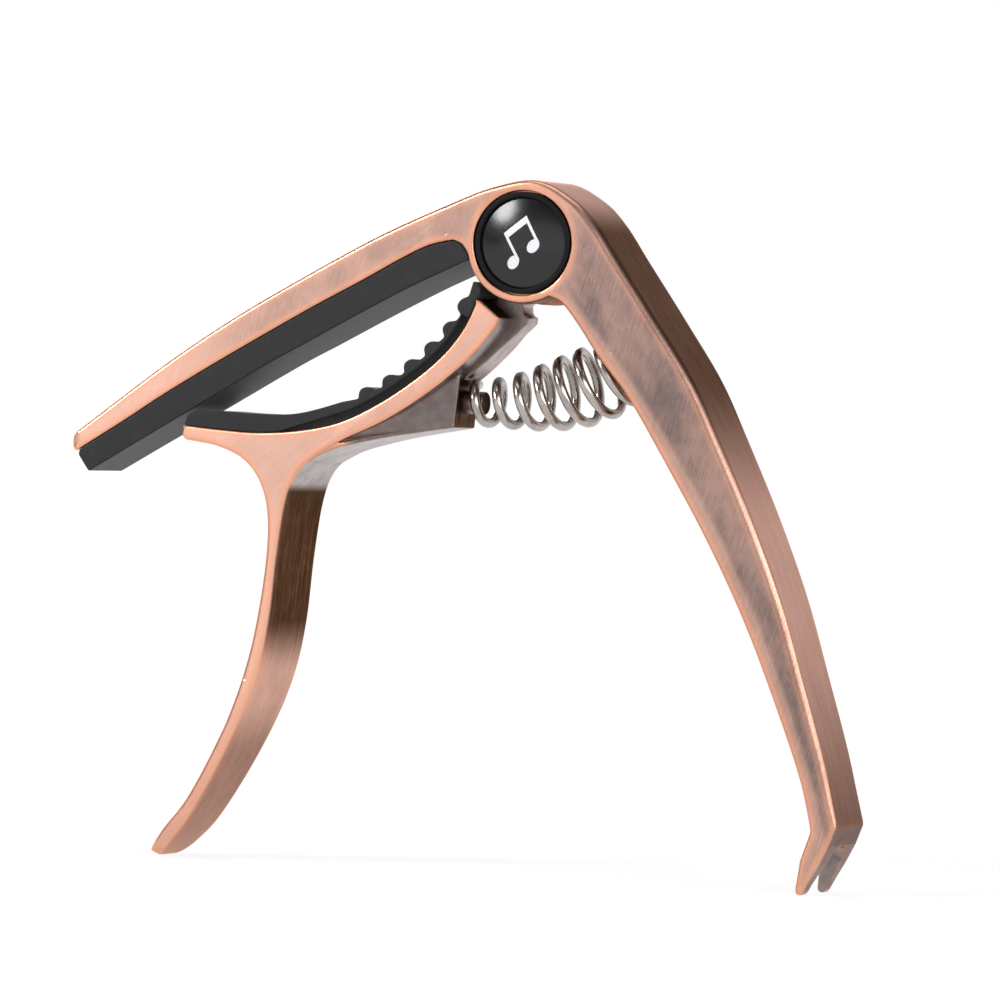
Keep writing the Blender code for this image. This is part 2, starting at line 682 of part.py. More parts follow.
def main():
    clear_scene()
    root = empty("capo", None, (PIVOT_X * MM, 0.0, PIVOT_Z * MM))
    swing = empty("lower_lever_pivot", root, (0.0, 0.0, 0.0))
    copper = material("antique_copper", (0.55, 0.3, 0.2), 0.38, 1.0)
    silicone = material("black_silicone", (0.03, 0.03, 0.033), 0.6, 0.0)
    nickel = material("nickel_wire", (0.72, 0.68, 0.64), 0.18, 1.0)
    steel = material("pivot_steel", (0.6, 0.6, 0.6), 0.3, 1.0)
    nylon = material("white_nylon", (0.8, 0.8, 0.76), 0.5, 0.0)
    button = {
        "bezel": material("black_plastic", (0.015, 0.015, 0.016), 0.25, 0.0),
        "badge": material("printed_film", (0.02, 0.02, 0.022), 0.35, 0.0),
        "dome": material("clear_resin", (0.05, 0.05, 0.055), 0.05, 0.0),
    }
    make_upper_lever(root, copper)
    make_string_pad(root, silicone)
    make_lower_lever(swing, copper)
    make_neck_pad(swing, silicone)
    make_spring(root, nickel)
    make_pivot(root, steel)
    make_washer("front_thrust_washer", -1, root, nylon)
    make_washer("rear_thrust_washer", 1, root, nylon)
    make_button("front", -1, root, button)
    make_button("rear", 1, root, button)


main()
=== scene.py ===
"""Looks of a spring-clamp guitar capo in antique copper, on a plain pale floor.

Outlines are in millimetres in the capo's own side view, as the CAD model's are: the pivot
axis is the drawing's origin, X points to the rear handle and Z points up.
"""

import json
import math

import bmesh
import bpy
import numpy as np
from mathutils import Matrix, Vector

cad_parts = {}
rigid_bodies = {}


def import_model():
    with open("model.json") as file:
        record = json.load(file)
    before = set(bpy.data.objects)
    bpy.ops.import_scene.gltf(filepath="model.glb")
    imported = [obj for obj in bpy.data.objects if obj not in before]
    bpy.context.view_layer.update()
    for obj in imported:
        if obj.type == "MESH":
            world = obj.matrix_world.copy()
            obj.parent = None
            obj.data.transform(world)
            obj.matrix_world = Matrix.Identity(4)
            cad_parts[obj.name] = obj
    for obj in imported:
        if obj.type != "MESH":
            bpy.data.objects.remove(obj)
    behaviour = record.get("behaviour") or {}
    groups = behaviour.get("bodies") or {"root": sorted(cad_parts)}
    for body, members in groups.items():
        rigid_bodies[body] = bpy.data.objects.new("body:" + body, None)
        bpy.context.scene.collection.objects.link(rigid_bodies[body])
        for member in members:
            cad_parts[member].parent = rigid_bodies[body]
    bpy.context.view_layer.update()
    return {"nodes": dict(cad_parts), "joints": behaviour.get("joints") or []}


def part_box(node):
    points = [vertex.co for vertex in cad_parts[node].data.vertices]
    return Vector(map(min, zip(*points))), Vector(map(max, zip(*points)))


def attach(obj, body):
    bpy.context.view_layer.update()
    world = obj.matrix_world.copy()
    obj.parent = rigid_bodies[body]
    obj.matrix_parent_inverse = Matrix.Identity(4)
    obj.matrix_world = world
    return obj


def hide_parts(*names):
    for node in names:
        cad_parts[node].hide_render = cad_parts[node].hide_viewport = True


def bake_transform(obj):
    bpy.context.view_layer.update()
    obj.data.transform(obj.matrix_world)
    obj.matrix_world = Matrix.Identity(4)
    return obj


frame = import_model()

MM = 0.001
PIVOT = Vector(frame["joints"][0]["pos_m"])
BAR_BODY = frame["joints"][0]["parent"]
SADDLE_BODY = frame["joints"][0]["child"]
ACROSS = Vector((0.0, 1.0, 0.0))

# Sizes read from the CAD model's own pieces
HALF_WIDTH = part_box("front_bezel")[0].y / -MM
BEZEL_RADIUS = (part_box("front_bezel")[1].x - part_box("front_bezel")[0].x) / 2 / MM
BEZEL_BACK = -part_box("front_bezel")[1].y / MM
DOME_RADIUS = (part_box("front_dome")[1].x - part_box("front_dome")[0].x) / 2 / MM
DOME_BACK = -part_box("front_dome")[1].y / MM
DOME_CROWN = -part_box("front_dome")[0].y / MM

# Hub
HUB_RADIUS = 7.75
RECESS_RADIUS = 6.75
RECESS_FLOOR = 4.8
COUNTERBORE = (4.45, 3.9)  # radius and floor
BORE_RADIUS = 2.15
TONGUE_RADIUS = 6.6
TONGUE_HALF = 1.8
TONGUE_SLOT_RADIUS = 6.95
TONGUE_SLOT_HALF = 2.6
TONGUE_SLOT_SWEEP = (215.0, 305.0)

# Upper lever
RIDGE = [
    (-62.5, -26.2), (-50.0, -17.0), (-40.0, -10.5), (-30.0, -4.8), (-20.0, 0.5),
    (-10.3, 4.8), (-4.3, 7.1), (1.6, 8.05), (6.6, 5.8), (9.8, 2.8), (13.1, -1.8),
    (18.5, -9.3), (23.7, -16.8), (27.6, -24.3), (32.4, -34.2), (36.6, -44.2),
    (39.9, -54.1), (43.1, -64.1), (45.2, -72.4),
]
FORK_OUTER = [(44.2, -75.1), (42.9, -77.6)]
FORK_TIP = [(41.5, -80.0), (40.9, -81.1), (40.4, -81.4), (39.9, -81.2), (39.8, -80.7)]
FORK_INNER = [(40.3, -77.1)]
HANDLE_INNER = [
    (41.6, -73.3), (39.9, -66.7), (36.0, -56.8), (31.6, -46.9), (26.3, -37.0),
    (20.2, -27.1), (15.3, -19.6), (11.0, -14.4), (8.0, -10.3), (5.8, -7.7), (4.2, -6.9),
]
HUB_ARC = (300.0, 199.0)
POCKET_END = [(-7.6, -1.5), (-8.4, -0.4)]
BAR_UNDERSIDE = [
    (-9.6, 0.1), (-13.0, -0.7), (-17.0, -2.6), (-22.3, -5.5), (-29.9, -9.5),
    (-41.3, -15.9), (-49.8, -20.9), (-55.6, -24.6), (-62.6, -28.9),
]
BAR_NOSE = [(-63.25, -28.4), (-63.45, -27.3)]
BAR_TIP_X = -63.45
BAR_TIP_HALF = 5.0
BAR_TIP_CORNER = 1.3
BAR_TAPER = 0.0239
HANDLE_TAPER = 0.0156
HANDLE_TAPER_START = -9.0
HANDLE_ARC_CENTRE = (-116.9, 0.0, -118.2)  # of the curve that the rear handle's inner edge follows
HANDLE_ARC_RADIUS = 164.7
CHANNEL_FLOOR = 1.8
CHANNEL_WALL = 1.15
CHANNEL_TOOL_DEPTH = 14.0
CHANNEL_SPAN = (0.555, 0.93)
FORK_KINK = (43.8, -72.8)
FORK_DIRECTION = (-0.378, -0.926)
FORK_SLOT_ROOT = 4.5
FORK_SLOT_HALF = 2.45
FORK_SLOT_MIDDLE = (6.2, 3.1)
FORK_SLOT_MOUTH = (12.0, 3.9)
FORK_TOOL_HALF = 6.0

# String pad
STRING_PAD_UNDERSIDE = [
    (-60.6, -31.5), (-54.5, -27.9), (-46.8, -23.4), (-35.4, -16.7), (-29.8, -13.7),
    (-22.2, -9.6), (-15.4, -6.1), (-10.0, -3.6), (-7.9, -2.6),
]
STRING_PAD_NOSE = (-62.2, -29.3)
PAD_ARC_END = 194.0

# Lower lever
SADDLE_TOP = [
    (-46.6, -24.9), (-41.4, -25.3), (-36.0, -25.5), (-30.0, -25.0), (-24.4, -23.7),
    (-18.9, -21.0), (-14.0, -17.7), (-10.4, -14.6), (-8.0, -11.6), (-6.6, -8.9), (-6.1, -7.4),
]
SADDLE_END = [(-5.5, -7.5), (-2.8, -9.6)]
SADDLE_UNDERSIDE = [
    (-3.3, -10.9), (-5.6, -13.7), (-9.3, -17.2), (-14.0, -20.7), (-18.8, -23.6),
    (-24.3, -26.2), (-28.5, -28.7), (-30.6, -31.1), (-31.7, -35.0), (-32.6, -42.0),
    (-33.3, -49.8), (-34.6, -56.5), (-37.0, -63.0), (-40.4, -69.8), (-44.3, -76.2),
    (-47.0, -79.3), (-49.0, -81.2),
]
FRONT_TIP = (-49.7, -81.4)
FRONT_HANDLE_OUTER = [
    (-50.3, -80.7), (-48.1, -77.6), (-44.9, -73.7), (-41.4, -67.6), (-38.4, -61.2),
    (-36.2, -54.0), (-34.9, -46.6), (-34.3, -40.0), (-34.6, -35.0), (-35.9, -31.4),
    (-38.3, -28.9), (-41.8, -27.5), (-44.9, -27.0), (-46.4, -26.8),
]
SADDLE_NOSE = (-46.9, -26.1)
FRONT_HANDLE_HALF = [
    (10.0, 6.6), (-50.0, 6.6), (-58.0, 6.45), (-64.0, 6.1), (-70.0, 5.7), (-75.0, 5.3),
    (-78.5, 4.9), (-80.3, 4.2), (-81.2, 2.6), (-81.6, 0.0),
]
TONGUE_ARC = (-76.0, 225.0)
TONGUE_ROOT = [
    (-5.4, -8.3), (-6.5, -10.4), (-8.6, -13.8), (-12.0, -17.4), (-12.5, -19.0), (-9.4, -18.0),
    (-7.4, -16.4), (-1.2, -10.8), (-0.7, -10.1), (-0.6, -9.5), (-1.2, -9.1), (-1.4, -7.9),
]
BOSS_SIDE = [
    (-9.0, -16.5), (-9.6, -24.0), (-13.0, -24.6), (-18.0, -25.5), (-22.3, -26.5),
    (-26.0, -27.6), (-29.0, -29.2), (-30.4, -28.9), (-30.0, -26.9), (-24.4, -25.0),
    (-18.9, -22.3), (-14.0, -19.2), (-11.0, -16.6),
]
BOSS_END_X = -9.3
BOSS_END_HALF = 3.5
BOSS_TAPER = 0.17
BOSS_WIDEST = 6.0
BOSS_STUD = (1.5, 2.4, 2.0)  # radius, length and the length inside the boss

# Neck pad
NECK_PAD_TOP = [
    (-46.3, -24.4), (-46.1, -23.7), (-45.4, -23.2), (-44.2, -22.95), (-39.5, -23.1),
    (-33.0, -23.1), (-30.1, -22.8), (-27.3, -22.1), (-24.4, -21.2),
]
RIB_LINE = [
    (-22.0, -20.7), (-18.5, -19.0), (-15.4, -16.9), (-12.6, -14.6), (-10.1, -12.1),
    (-8.2, -9.5), (-7.0, -6.9), (-6.3, -4.4),
]
RIB_COUNT = 6
RIB_PITCH = 3.62
RIB_PROFILE = [(0.0, 0.0), (0.35, 0.7), (0.85, 1.05), (1.7, 0.95), (2.3, 0.45), (2.7, -0.05)]
NECK_PAD_END = [(-6.55, -5.0), (-6.05, -5.45), (-5.65, -5.9), (-5.6, -7.05)]
UNDERCUT_SPAN = (-38.0, -7.0)
UNDERCUT_HEIGHT = 1.1
UNDERCUT_RAMP = 14.0
UNDERCUT_HALF = 5.3

# Spring
SPRING_START = (-9.0, -20.7)
SPRING_BOW = (6.0, -20.9)
SPRING_END = (18.3, -12.4)
SPRING_TURNS = 8.5
SPRING_PHASE = 20.0
SPRING_SEAT = 0.75
WIRE_RADIUS = 0.65
COIL_RADII = [(0.0, 2.5), (0.6, 4.55), (1.0, 3.7)]
CHANNEL_STUD = (2.4, 3.0)  # radius and length

# Edge roundings
RIDGE_ROUNDING = (0.6, 1.1)  # at the bar and down the rear handle
HANDLE_INNER_ROUNDING = 0.5
FORK_ROUNDING = 0.45
UPPER_ROUNDING = 0.4
LOWER_ROUNDING = 0.38
GRIP_ROUNDING = (0.65, 0.78)  # back and inner edge of the front handle
BOSS_ROUNDING = 0.45
TONGUE_ROUNDING = 0.3
STRING_PAD_ROUNDING = 0.25
NECK_PAD_ROUNDING = 0.2

# Buttons
BEZEL_LIP = 0.16
BUTTON_GAP = 0.05  # between dome and bezel, and the dome's height at its edge
MOTIF_TILT = 30.0
PRINT_THICKNESS = 0.045
PRINT_SUNK = 0.03

# How fine the meshes are
SPAN_STEPS = 8  # chords between two outline points
RIM_STEPS = 7
ROUND_STEPS = 96
SPRING_STEPS = 44
WIRE_SIDES = 16
PAD_GAP = 0.04  # between a pad and the metal that carries it
LONG_CHORD = 0.6
FINE_CHORD = 0.12
CORNER_TURN = math.radians(14.0)
CORNER_REACH = 0.5
CORNER_PASSES = 8
ON_LINE = 0.3  # a point this near to a line is taken to lie on it
ON_BACK = 0.4
BEND_SHARE = 0.8  # of a convex bend's radius, at most, is rounded off
LEAST_ROUNDING = 0.05
RADIUS_GROWTH = 0.5
FLOOR_WHITE = 1.03


# ---------- curves in the side view


def spline(points, steps=SPAN_STEPS):
    """A smooth curve through the points, with this many chords in each span."""
    last = len(points) - 1
    curve = []
    for i in range(last):
        before, start, end, after = (Vector(points[min(max(i + k, 0), last)]) for k in (-1, 0, 1, 2))
        for step in range(steps):
            t = step / steps
            square = 2 * before - 5 * start + 4 * end - after
            cube = 3 * start - before - 3 * end + after
            curve.append(start + 0.5 * (t * (end - before) + t * t * square + t**3 * cube))
    return curve + [Vector(points[-1])]


def arc(radius, start, end, steps, centre=(0.0, 0.0)):
    """Points on an arc between two angles in degrees."""
    curve = []
    for step in range(steps + 1):
        angle = math.radians(start + (end - start) * step / steps)
        curve.append(Vector(centre) + radius * Vector((math.cos(angle), math.sin(angle))))
    return curve


def offset(curve, distance):
    """The curve moved to its left by a distance."""
    moved = []
    last = len(curve) - 1
    for i, point in enumerate(curve):
        along = (curve[min(i + 1, last)] - curve[max(i - 1, 0)]).normalized()
        moved.append(point + distance * Vector((-along.y, along.x)))
    return moved


def vectors(points):
    return [Vector(point) for point in points]


def nearest(curve, point):
    """Distance from a point to a curve, and the part of the way along it."""
    best = (math.inf, 0.0)
    for i, (start, end) in enumerate(zip(curve, curve[1:])):
        along = end - start
        part = min(1.0, max(0.0, (point - start).dot(along) / along.length_squared))
        best = min(best, ((start + part * along - point).length, (i + part) / (len(curve) - 1)))
    return best


def point_along(curve, reach):
    """The point and direction at a distance along a curve."""
    for start, end in zip(curve, curve[1:]):
        length = (end - start).length
        if reach <= length:
            return start + (end - start) * (reach / length), (end - start).normalized()
        reach -= length
    return curve[-1], (curve[-1] - curve[-2]).normalized()


def ease(value, low, high):
    """0 below low, 1 above high and smooth between them."""
    t = min(1.0, max(0.0, (value - low) / (high - low)))
    return t * t * (3 - 2 * t)


# ---------- meshes


def place(x, y, z):
    """A point of the drawing, with y across the capo, in the row frame."""
    return PIVOT + MM * Vector((x, y, z))


def add_piece(name, mesh, finish=None):
    """Makes an object of a bmesh; without a finish it is only a tool."""
    bmesh.ops.recalc_face_normals(mesh, faces=mesh.faces)
    data = bpy.data.meshes.new(name)
    mesh.to_mesh(data)
    mesh.free()
    made = bpy.data.objects.new(name, data)
    bpy.context.scene.collection.objects.link(made)
    if finish:
        data.materials.append(finish)
    return made


def bridge(mesh, first, second):
    """Faces between two closed rings of points."""
    for i, point in enumerate(first):
        after = (i + 1) % len(first)
        mesh.faces.new((point, first[after], second[after], second[i]))


def prism(name, outline, limits, view, finish=None):
    """The outline given thickness: limits(u, v) returns its low and high ends at a point."""
    mesh = bmesh.new()
    rings = []
    for side in (0, 1):
        rings.append([mesh.verts.new(view(u, v, limits(u, v)[side])) for u, v in outline])
        mesh.faces.new(rings[side])
    bridge(mesh, rings[0], rings[1])
    return add_piece(name, mesh, finish)


def side_view(u, v, depth):
    return place(u, depth, v)


def slab(name, outline, half, finish=None):
    """A side-view outline of a constant or tapering half-width."""

    def limits(u, v):
        reach = half(u, v) if callable(half) else half
        return -reach, reach

    return prism(name, outline, limits, side_view, finish)


def turned(name, profile, finish=None, steps=ROUND_STEPS):
    """A profile of (radius, y) points turned about the pivot axis."""
    mesh = bmesh.new()
    rings = []
    for radius, y in profile:
        around = steps if radius > 0 else 1
        ring = []
        for step in range(around):
            angle = 2 * math.pi * step / steps
            ring.append(mesh.verts.new(place(radius * math.cos(angle), y, radius * math.sin(angle))))
        rings.append(ring)
    for first, second in zip(rings, rings[1:]):
        for step in range(steps):
            after = (step + 1) % steps
            corners = [first[step % len(first)], first[after % len(first)]]
            corners += [second[after % len(second)], second[step % len(second)]]
            mesh.faces.new(list(dict.fromkeys(corners)))
    return add_piece(name, mesh, finish)


def rod(name, start, along, length, radius, rounding=0.0):
    """A round bar in the middle plane from a side-view point, its far end rounded."""
    axis = Vector((along.x, 0.0, along.y))
    across = ACROSS.cross(axis)
    stations = [(0.0, radius), (length - rounding, radius)]
    for step in (1, 2, 3):
        angle = math.pi / 2 * step / 3
        reach = length - rounding * (1 - math.sin(angle))
        stations.append((reach, radius - rounding * (1 - math.cos(angle))))
    mesh = bmesh.new()
    rings = []
    for reach, size in stations if rounding else stations[:2]:
        middle = place(start.x, 0.0, start.y) + MM * reach * axis
        ring = []
        for point in arc(size, 0.0, 360.0, ROUND_STEPS // 2)[:-1]:
            ring.append(mesh.verts.new(middle + MM * (point.x * across + point.y * ACROSS)))
        rings.append(ring)
    for first, second in zip(rings, rings[1:]):
        bridge(mesh, first, second)
    mesh.faces.new(rings[0])
    mesh.faces.new(rings[-1])
    return add_piece(name, mesh)


def settle(piece):
    """Replaces a piece's mesh with what its modifiers make of it."""
    bpy.context.view_layer.update()
    graph = bpy.context.evaluated_depsgraph_get()
    mesh = bpy.data.meshes.new_from_object(piece.evaluated_get(graph))
    piece.modifiers.clear()
    piece.data = mesh


def combine(piece, tool, operation):
    """Joins a tool to a piece or cuts it away, and removes the tool."""
    modifier = piece.modifiers.new("join", "BOOLEAN")
    modifier.operation = operation
    modifier.object = tool
    modifier.solver = "EXACT"
    settle(piece)
    bpy.data.objects.remove(tool, do_unlink=True)


def corners_of(outline):
    """The points where a closed outline turns sharply."""
    found = []
    for before, point, after in zip(outline[-1:] + outline[:-1], outline, outline[1:] + outline[:1]):
        if (point - before).angle(after - point) > CORNER_TURN:
            found.append(point)
    return found


def refined(outline, fine_at=None):
    """A closed outline as an array, with short chords and a small rounding where it turns sharply."""
    corners = corners_of(outline)
    points = []
    for start, end in zip(outline, outline[1:] + outline[:1]):
        chord = LONG_CHORD
        from_corner = min((corner - start.lerp(end, 0.5)).length for corner in corners)
        if from_corner < CORNER_REACH + (end - start).length:
            chord = FINE_CHORD
        if fine_at and fine_at(start):
            chord = FINE_CHORD
        count = max(1, math.ceil((end - start).length / chord))
        points += [start.lerp(end, i / count) for i in range(count)]
    line = np.array([(point.x, point.y) for point in points])
    near = np.zeros(len(line), bool)
    for corner in corners:
        near |= np.hypot(*(line - np.array(corner)).T) < CORNER_REACH
    for _ in range(CORNER_PASSES):
        eased = 0.5 * line + 0.25 * (np.roll(line, 1, 0) + np.roll(line, -1, 0))
        line = np.where(near[:, None], eased, line)
    following = np.roll(line, -1, 0)
    if np.sum(line[:, 0] * following[:, 1] - following[:, 0] * line[:, 1]) < 0:
        line = line[::-1]
    return line


def inset(line, reach):
    """The outline's points moved inwards, each by its own distance, short of where they would cross."""

    def unit(rows):
        return rows / np.maximum(np.linalg.norm(rows, axis=1), 1e-9)[:, None]

    into = unit(line - np.roll(line, 1, 0))
    out = unit(np.roll(line, -1, 0) - line)
    first = np.stack((-into[:, 1], into[:, 0]), 1)
    second = np.stack((-out[:, 1], out[:, 0]), 1)
    middle = unit(first + second)
    stretch_by = 1 / np.maximum(0.5, np.sum(middle * first, 1))
    moved = line + middle * (reach * stretch_by)[:, None]
    start, along = line, np.roll(line, -1, 0) - line
    length = np.maximum(np.sum(along * along, 1), 1e-12)
    kept = np.ones(len(line), bool)
    for i, point in enumerate(moved):
        part = np.clip(np.sum((point - start) * along, 1) / length, 0, 1)
        gap = np.min(np.linalg.norm(start + part[:, None] * along - point, axis=1))
        kept[i] = gap > reach[i] * 0.96 - 1e-6
    valid = np.flatnonzero(kept)
    for i in np.flatnonzero(~kept):
        distance = np.minimum(abs(valid - i), len(line) - abs(valid - i))
        moved[i] = moved[valid[np.argmin(distance)]]
    return moved


def eased_radii(line, wanted):
    """Edge radii along an outline, held below its own convex bends and changing slowly along it."""
    before, after = np.roll(line, 1, 0), np.roll(line, -1, 0)
    first, second = line - before, after - line
    lengths = np.linalg.norm(first, axis=1), np.linalg.norm(second, axis=1)
    cross = first[:, 0] * second[:, 1] - first[:, 1] * second[:, 0]
    turn = np.arcsin(np.clip(cross / (lengths[0] * lengths[1]), -1, 1))
    bend = np.maximum(turn, 1e-6) / (0.5 * (lengths[0] + lengths[1]))
    radii = np.minimum(wanted, np.maximum(BEND_SHARE / bend, LEAST_ROUNDING))
    for _ in (0, 1):
        for i in range(1, 2 * len(line)):
            here, last = i % len(line), (i - 1) % len(line)
            radii[here] = min(radii[here], radii[last] + RADIUS_GROWTH * lengths[0][here])
        radii, lengths = radii[::-1], (np.roll(lengths[0][::-1], 1), lengths[1])
    return radii


def casting(name, outline, radius_at, half_at, finish=None, fine_at=None, steps=RIM_STEPS):
    """A side-view outline given width, with rounded rims; half_at(x, z) is half its width at a point."""
    line = refined(outline, fine_at)
    radii = eased_radii(line, np.array([radius_at(x, z) for x, z in line]))
    mesh = bmesh.new()
    rings = []
    for side in (-1, 1):
        rows = []
        for step in range(steps + 1):
            turn = math.pi / 2 * step / steps
            spots = inset(line, radii * (1 - math.cos(turn)))
            lowered = radii * (1 - math.sin(turn))
            row = []
            for (x, z), drop in zip(spots, lowered):
                y = side * half_at(x, z) * (1 - drop / HALF_WIDTH)
                row.append(mesh.verts.new(place(x, y, z)))
            rows.append(row)
        for first, second in zip(rows, rows[1:]):
            bridge(mesh, first, second)
        mesh.faces.new(rows[-1])
        rings.append(rows[0])
    bridge(mesh, *rings)
    bmesh.ops.remove_doubles(mesh, verts=mesh.verts, dist=0.004 * MM)
    bmesh.ops.dissolve_degenerate(mesh, edges=mesh.edges, dist=0.002 * MM)
    caps = [face for face in mesh.faces if len(face.verts) > 4]
    bmesh.ops.triangulate(mesh, faces=caps)
    return add_piece(name, mesh, finish)


def mend(piece):
    """Closes the pinholes that cuts leave where their points almost meet."""
    mesh = bmesh.new()
    mesh.from_mesh(piece.data)
    bmesh.ops.remove_doubles(mesh, verts=mesh.verts, dist=0.0005 * MM)
    bmesh.ops.dissolve_degenerate(mesh, edges=mesh.edges, dist=0.0005 * MM)
    open_edges = [edge for edge in mesh.edges if len(edge.link_faces) == 1]
    bmesh.ops.holes_fill(mesh, edges=open_edges, sides=12)
    mesh.to_mesh(piece.data)
    mesh.free()


def shade(piece, angle=50.0):
    piece.data.shade_smooth()
    piece.data.set_sharp_from_angle(angle=math.radians(angle))
    weighted = piece.modifiers.new("even", "WEIGHTED_NORMAL")
    weighted.keep_sharp = True
    settle(piece)


# ---------- node materials


def node(tree, kind, inputs=None, **settings):
    """Adds a shader node; inputs maps socket names or numbers to values or to other sockets."""
    made = tree.nodes.new("ShaderNode" + kind)
    for key, value in settings.items():
        setattr(made, key, value)
    for key, value in (inputs or {}).items():
        if isinstance(value, bpy.types.NodeSocket):
            tree.links.new(value, made.inputs[key])
        else:
            made.inputs[key].default_value = value
    return made


def new_material(name, **values):
    made = bpy.data.materials.new(name)
    made.use_nodes = True
    shader = made.node_tree.nodes["Principled BSDF"]
    for key, value in values.items():
        shader.inputs[key.replace("_", " ")].default_value = value
    return made, made.node_tree, shader


def vector_maths(tree, operation, first, second, output=0):
    """A vector operation; output "Value" is for those that give one number."""
    made = node(tree, "VectorMath", {0: first, 1: second}, operation=operation)
    return made.outputs[output]


def feed(tree, shader, **sockets):
    """Links sockets to a shader's inputs; an input's name has _ for each space."""
    for key, socket in sockets.items():
        tree.links.new(socket, shader.inputs[key.replace("_", " ")])


def drawing_position(tree):
    """Object coordinates as millimetres of the drawing."""
    coordinates = node(tree, "TexCoord")
    centred = vector_maths(tree, "SUBTRACT", coordinates.outputs["Object"], PIVOT)
    return vector_maths(tree, "DIVIDE", centred, (MM, MM, MM))


def squeezed(tree, position, angle, scale):
    """The position turned about the pivot axis, then scaled on each axis."""
    inputs = {"Vector": position, "Rotation": (0.0, math.radians(angle), 0.0), "Scale": scale}
    return node(tree, "Mapping", inputs, vector_type="TEXTURE").outputs[0]


def noise(tree, position, scale, detail=4.0, roughness=0.55):
    inputs = {"Vector": position, "Scale": scale, "Detail": detail, "Roughness": roughness}
    return node(tree, "TexNoise", inputs).outputs["Fac"]


def remap(tree, value, low, high, to_low=0.0, to_high=1.0):
    inputs = {"Value": value, "From Min": low, "From Max": high, "To Min": to_low, "To Max": to_high}
    return node(tree, "MapRange", inputs, interpolation_type="SMOOTHSTEP").outputs[0]


def maths(tree, operation, first, second):
    return node(tree, "Math", {0: first, 1: second}, operation=operation).outputs[0]


def product(tree, first, *others):
    for other in others:
        first = maths(tree, "MULTIPLY", first, other)
    return first


def largest(tree, first, *others):
    for other in others:
        first = maths(tree, "MAXIMUM", first, other)
    return first


def blend_value(tree, factor, first, second):
    return node(tree, "Mix", {0: factor, 2: first, 3: second}, data_type="FLOAT").outputs[0]


def blend_colour(tree, factor, *tones):
    """Mixes two tones, each (red, green, blue) or a socket."""
    first, second = (tone if isinstance(tone, bpy.types.NodeSocket) else (*tone, 1.0) for tone in tones)
    return node(tree, "Mix", {0: factor, 6: first, 7: second}, data_type="RGBA").outputs[2]


def bump(tree, height, distance, normal=None):
    """A relief this many millimetres deep, on top of another one if its normal is given."""
    inputs = {"Height": height, "Distance": distance * MM, "Strength": 1.0}
    if normal:
        inputs["Normal"] = normal
    return node(tree, "Bump", inputs).outputs[0]


def edge_wear(tree, radius):
    """1 on edges that stand proud, from how far a rounded normal turns from the real one."""
    rounded = node(tree, "Bevel", {"Radius": radius * MM}, samples=4)
    geometry = node(tree, "NewGeometry")
    turn = vector_maths(tree, "DOT_PRODUCT", rounded.outputs[0], geometry.outputs["Normal"], "Value")
    return remap(tree, turn, 0.9995, 0.94)


def split_position(tree, position):
    """The drawing position's x, distance from the middle plane, z and distance beyond the rear
    handle's inner edge, and the normal and its y."""
    parts = node(tree, "SeparateXYZ", {0: position})
    coordinates = node(tree, "TexCoord")
    turned_to = node(tree, "SeparateXYZ", {0: coordinates.outputs["Normal"]})
    level = vector_maths(tree, "MULTIPLY", position, (1.0, 0.0, 1.0))
    reach = vector_maths(tree, "DISTANCE", level, HANDLE_ARC_CENTRE, "Value")
    return {
        "from_arc": maths(tree, "SUBTRACT", reach, HANDLE_ARC_RADIUS),
        "x": parts.outputs["X"],
        "y": maths(tree, "ABSOLUTE", parts.outputs["Y"], 0.0),
        "z": parts.outputs["Z"],
        "normal": coordinates.outputs["Normal"],
        "side": maths(tree, "ABSOLUTE", turned_to.outputs["Y"], 0.0),
    }


FACING_RAMP = (0.35, 0.8)  # cosines between a face's normal and the way it has to look


def zone(tree, parts, amount, facing=None, **limits):
    """An amount inside limits such as x=(0 at, 1 at, 1 until, 0 until), on faces that look one way."""
    ramps = []
    for key, (begin, full, last, end) in limits.items():
        for low, high in ((begin, full), (end, last)):
            if low is not OPEN:
                ramps.append(remap(tree, parts[key], low, high))
    if facing:
        turn = vector_maths(tree, "DOT_PRODUCT", parts["normal"], facing, "Value")
        ramps.append(remap(tree, turn, *FACING_RAMP))
    return product(tree, *ramps, amount)


OPEN = None
FLAT_SIDE = (0.5, 0.8, OPEN, OPEN)
OUTER_FACE = (0.9, 0.0, 0.35)
INNER_FACE = (1.0, 0.0, 0.0)
FORK_SLOT_SIDES = {"z": (-74.5, -76.5, OPEN, OPEN), "y": (OPEN, OPEN, 4.2, 4.8), "side": FLAT_SIDE}
BELOW_SADDLE = (-33.5, -30.0, OPEN, OPEN)
NARROW = (OPEN, OPEN, 5.5, 6.1)  # within the tongue, the boss and the web


def upper_patina_and_shade(tree, parts):
    """Brown film on the upper lever: thin on the bar, thick down the rear handle. On the bar it grows from
    the tip towards the hub, partly as painted shade that keeps the bar's side lighter at its left.
    """
    handle = (1.0, 9.0, OPEN, OPEN)
    return largest(
        tree,
        # the bar's side: patina, and painted shade that darkens it towards the hub
        zone(tree, parts, 0.6, x=(-54.0, -30.0, OPEN, OPEN), side=FLAT_SIDE),
        zone(tree, parts, 0.95, x=handle, from_arc=(0.2, 2.5, OPEN, OPEN), side=FLAT_SIDE),
        zone(tree, parts, 0.3, x=handle),
    )


def upper_painted_shade_and_reflection(tree, parts):
    """Painted dark reflection on the outer face, strongest below the hub and at the kink, and painted
    shade on faces that look down below the pivot and on the fork slot's sides.
    """
    return largest(
        tree,
        # painted dark reflection on the outer face
        zone(tree, parts, 0.9, OUTER_FACE, z=(-36.0, -16.0, 1.5, 6.0)),
        zone(tree, parts, 0.8, OUTER_FACE, z=(-44.0, -78.0, OPEN, OPEN)),
        # painted shade on faces that look down below the pivot
        zone(tree, parts, 0.95, (0.0, 0.0, -1.0), x=(-6.0, -4.0, 5.5, 7.0), z=(-10.5, -9.5, -4.0, -2.0)),
        # painted shade in the fork's slot
        zone(tree, parts, 0.5, **FORK_SLOT_SIDES),
    )


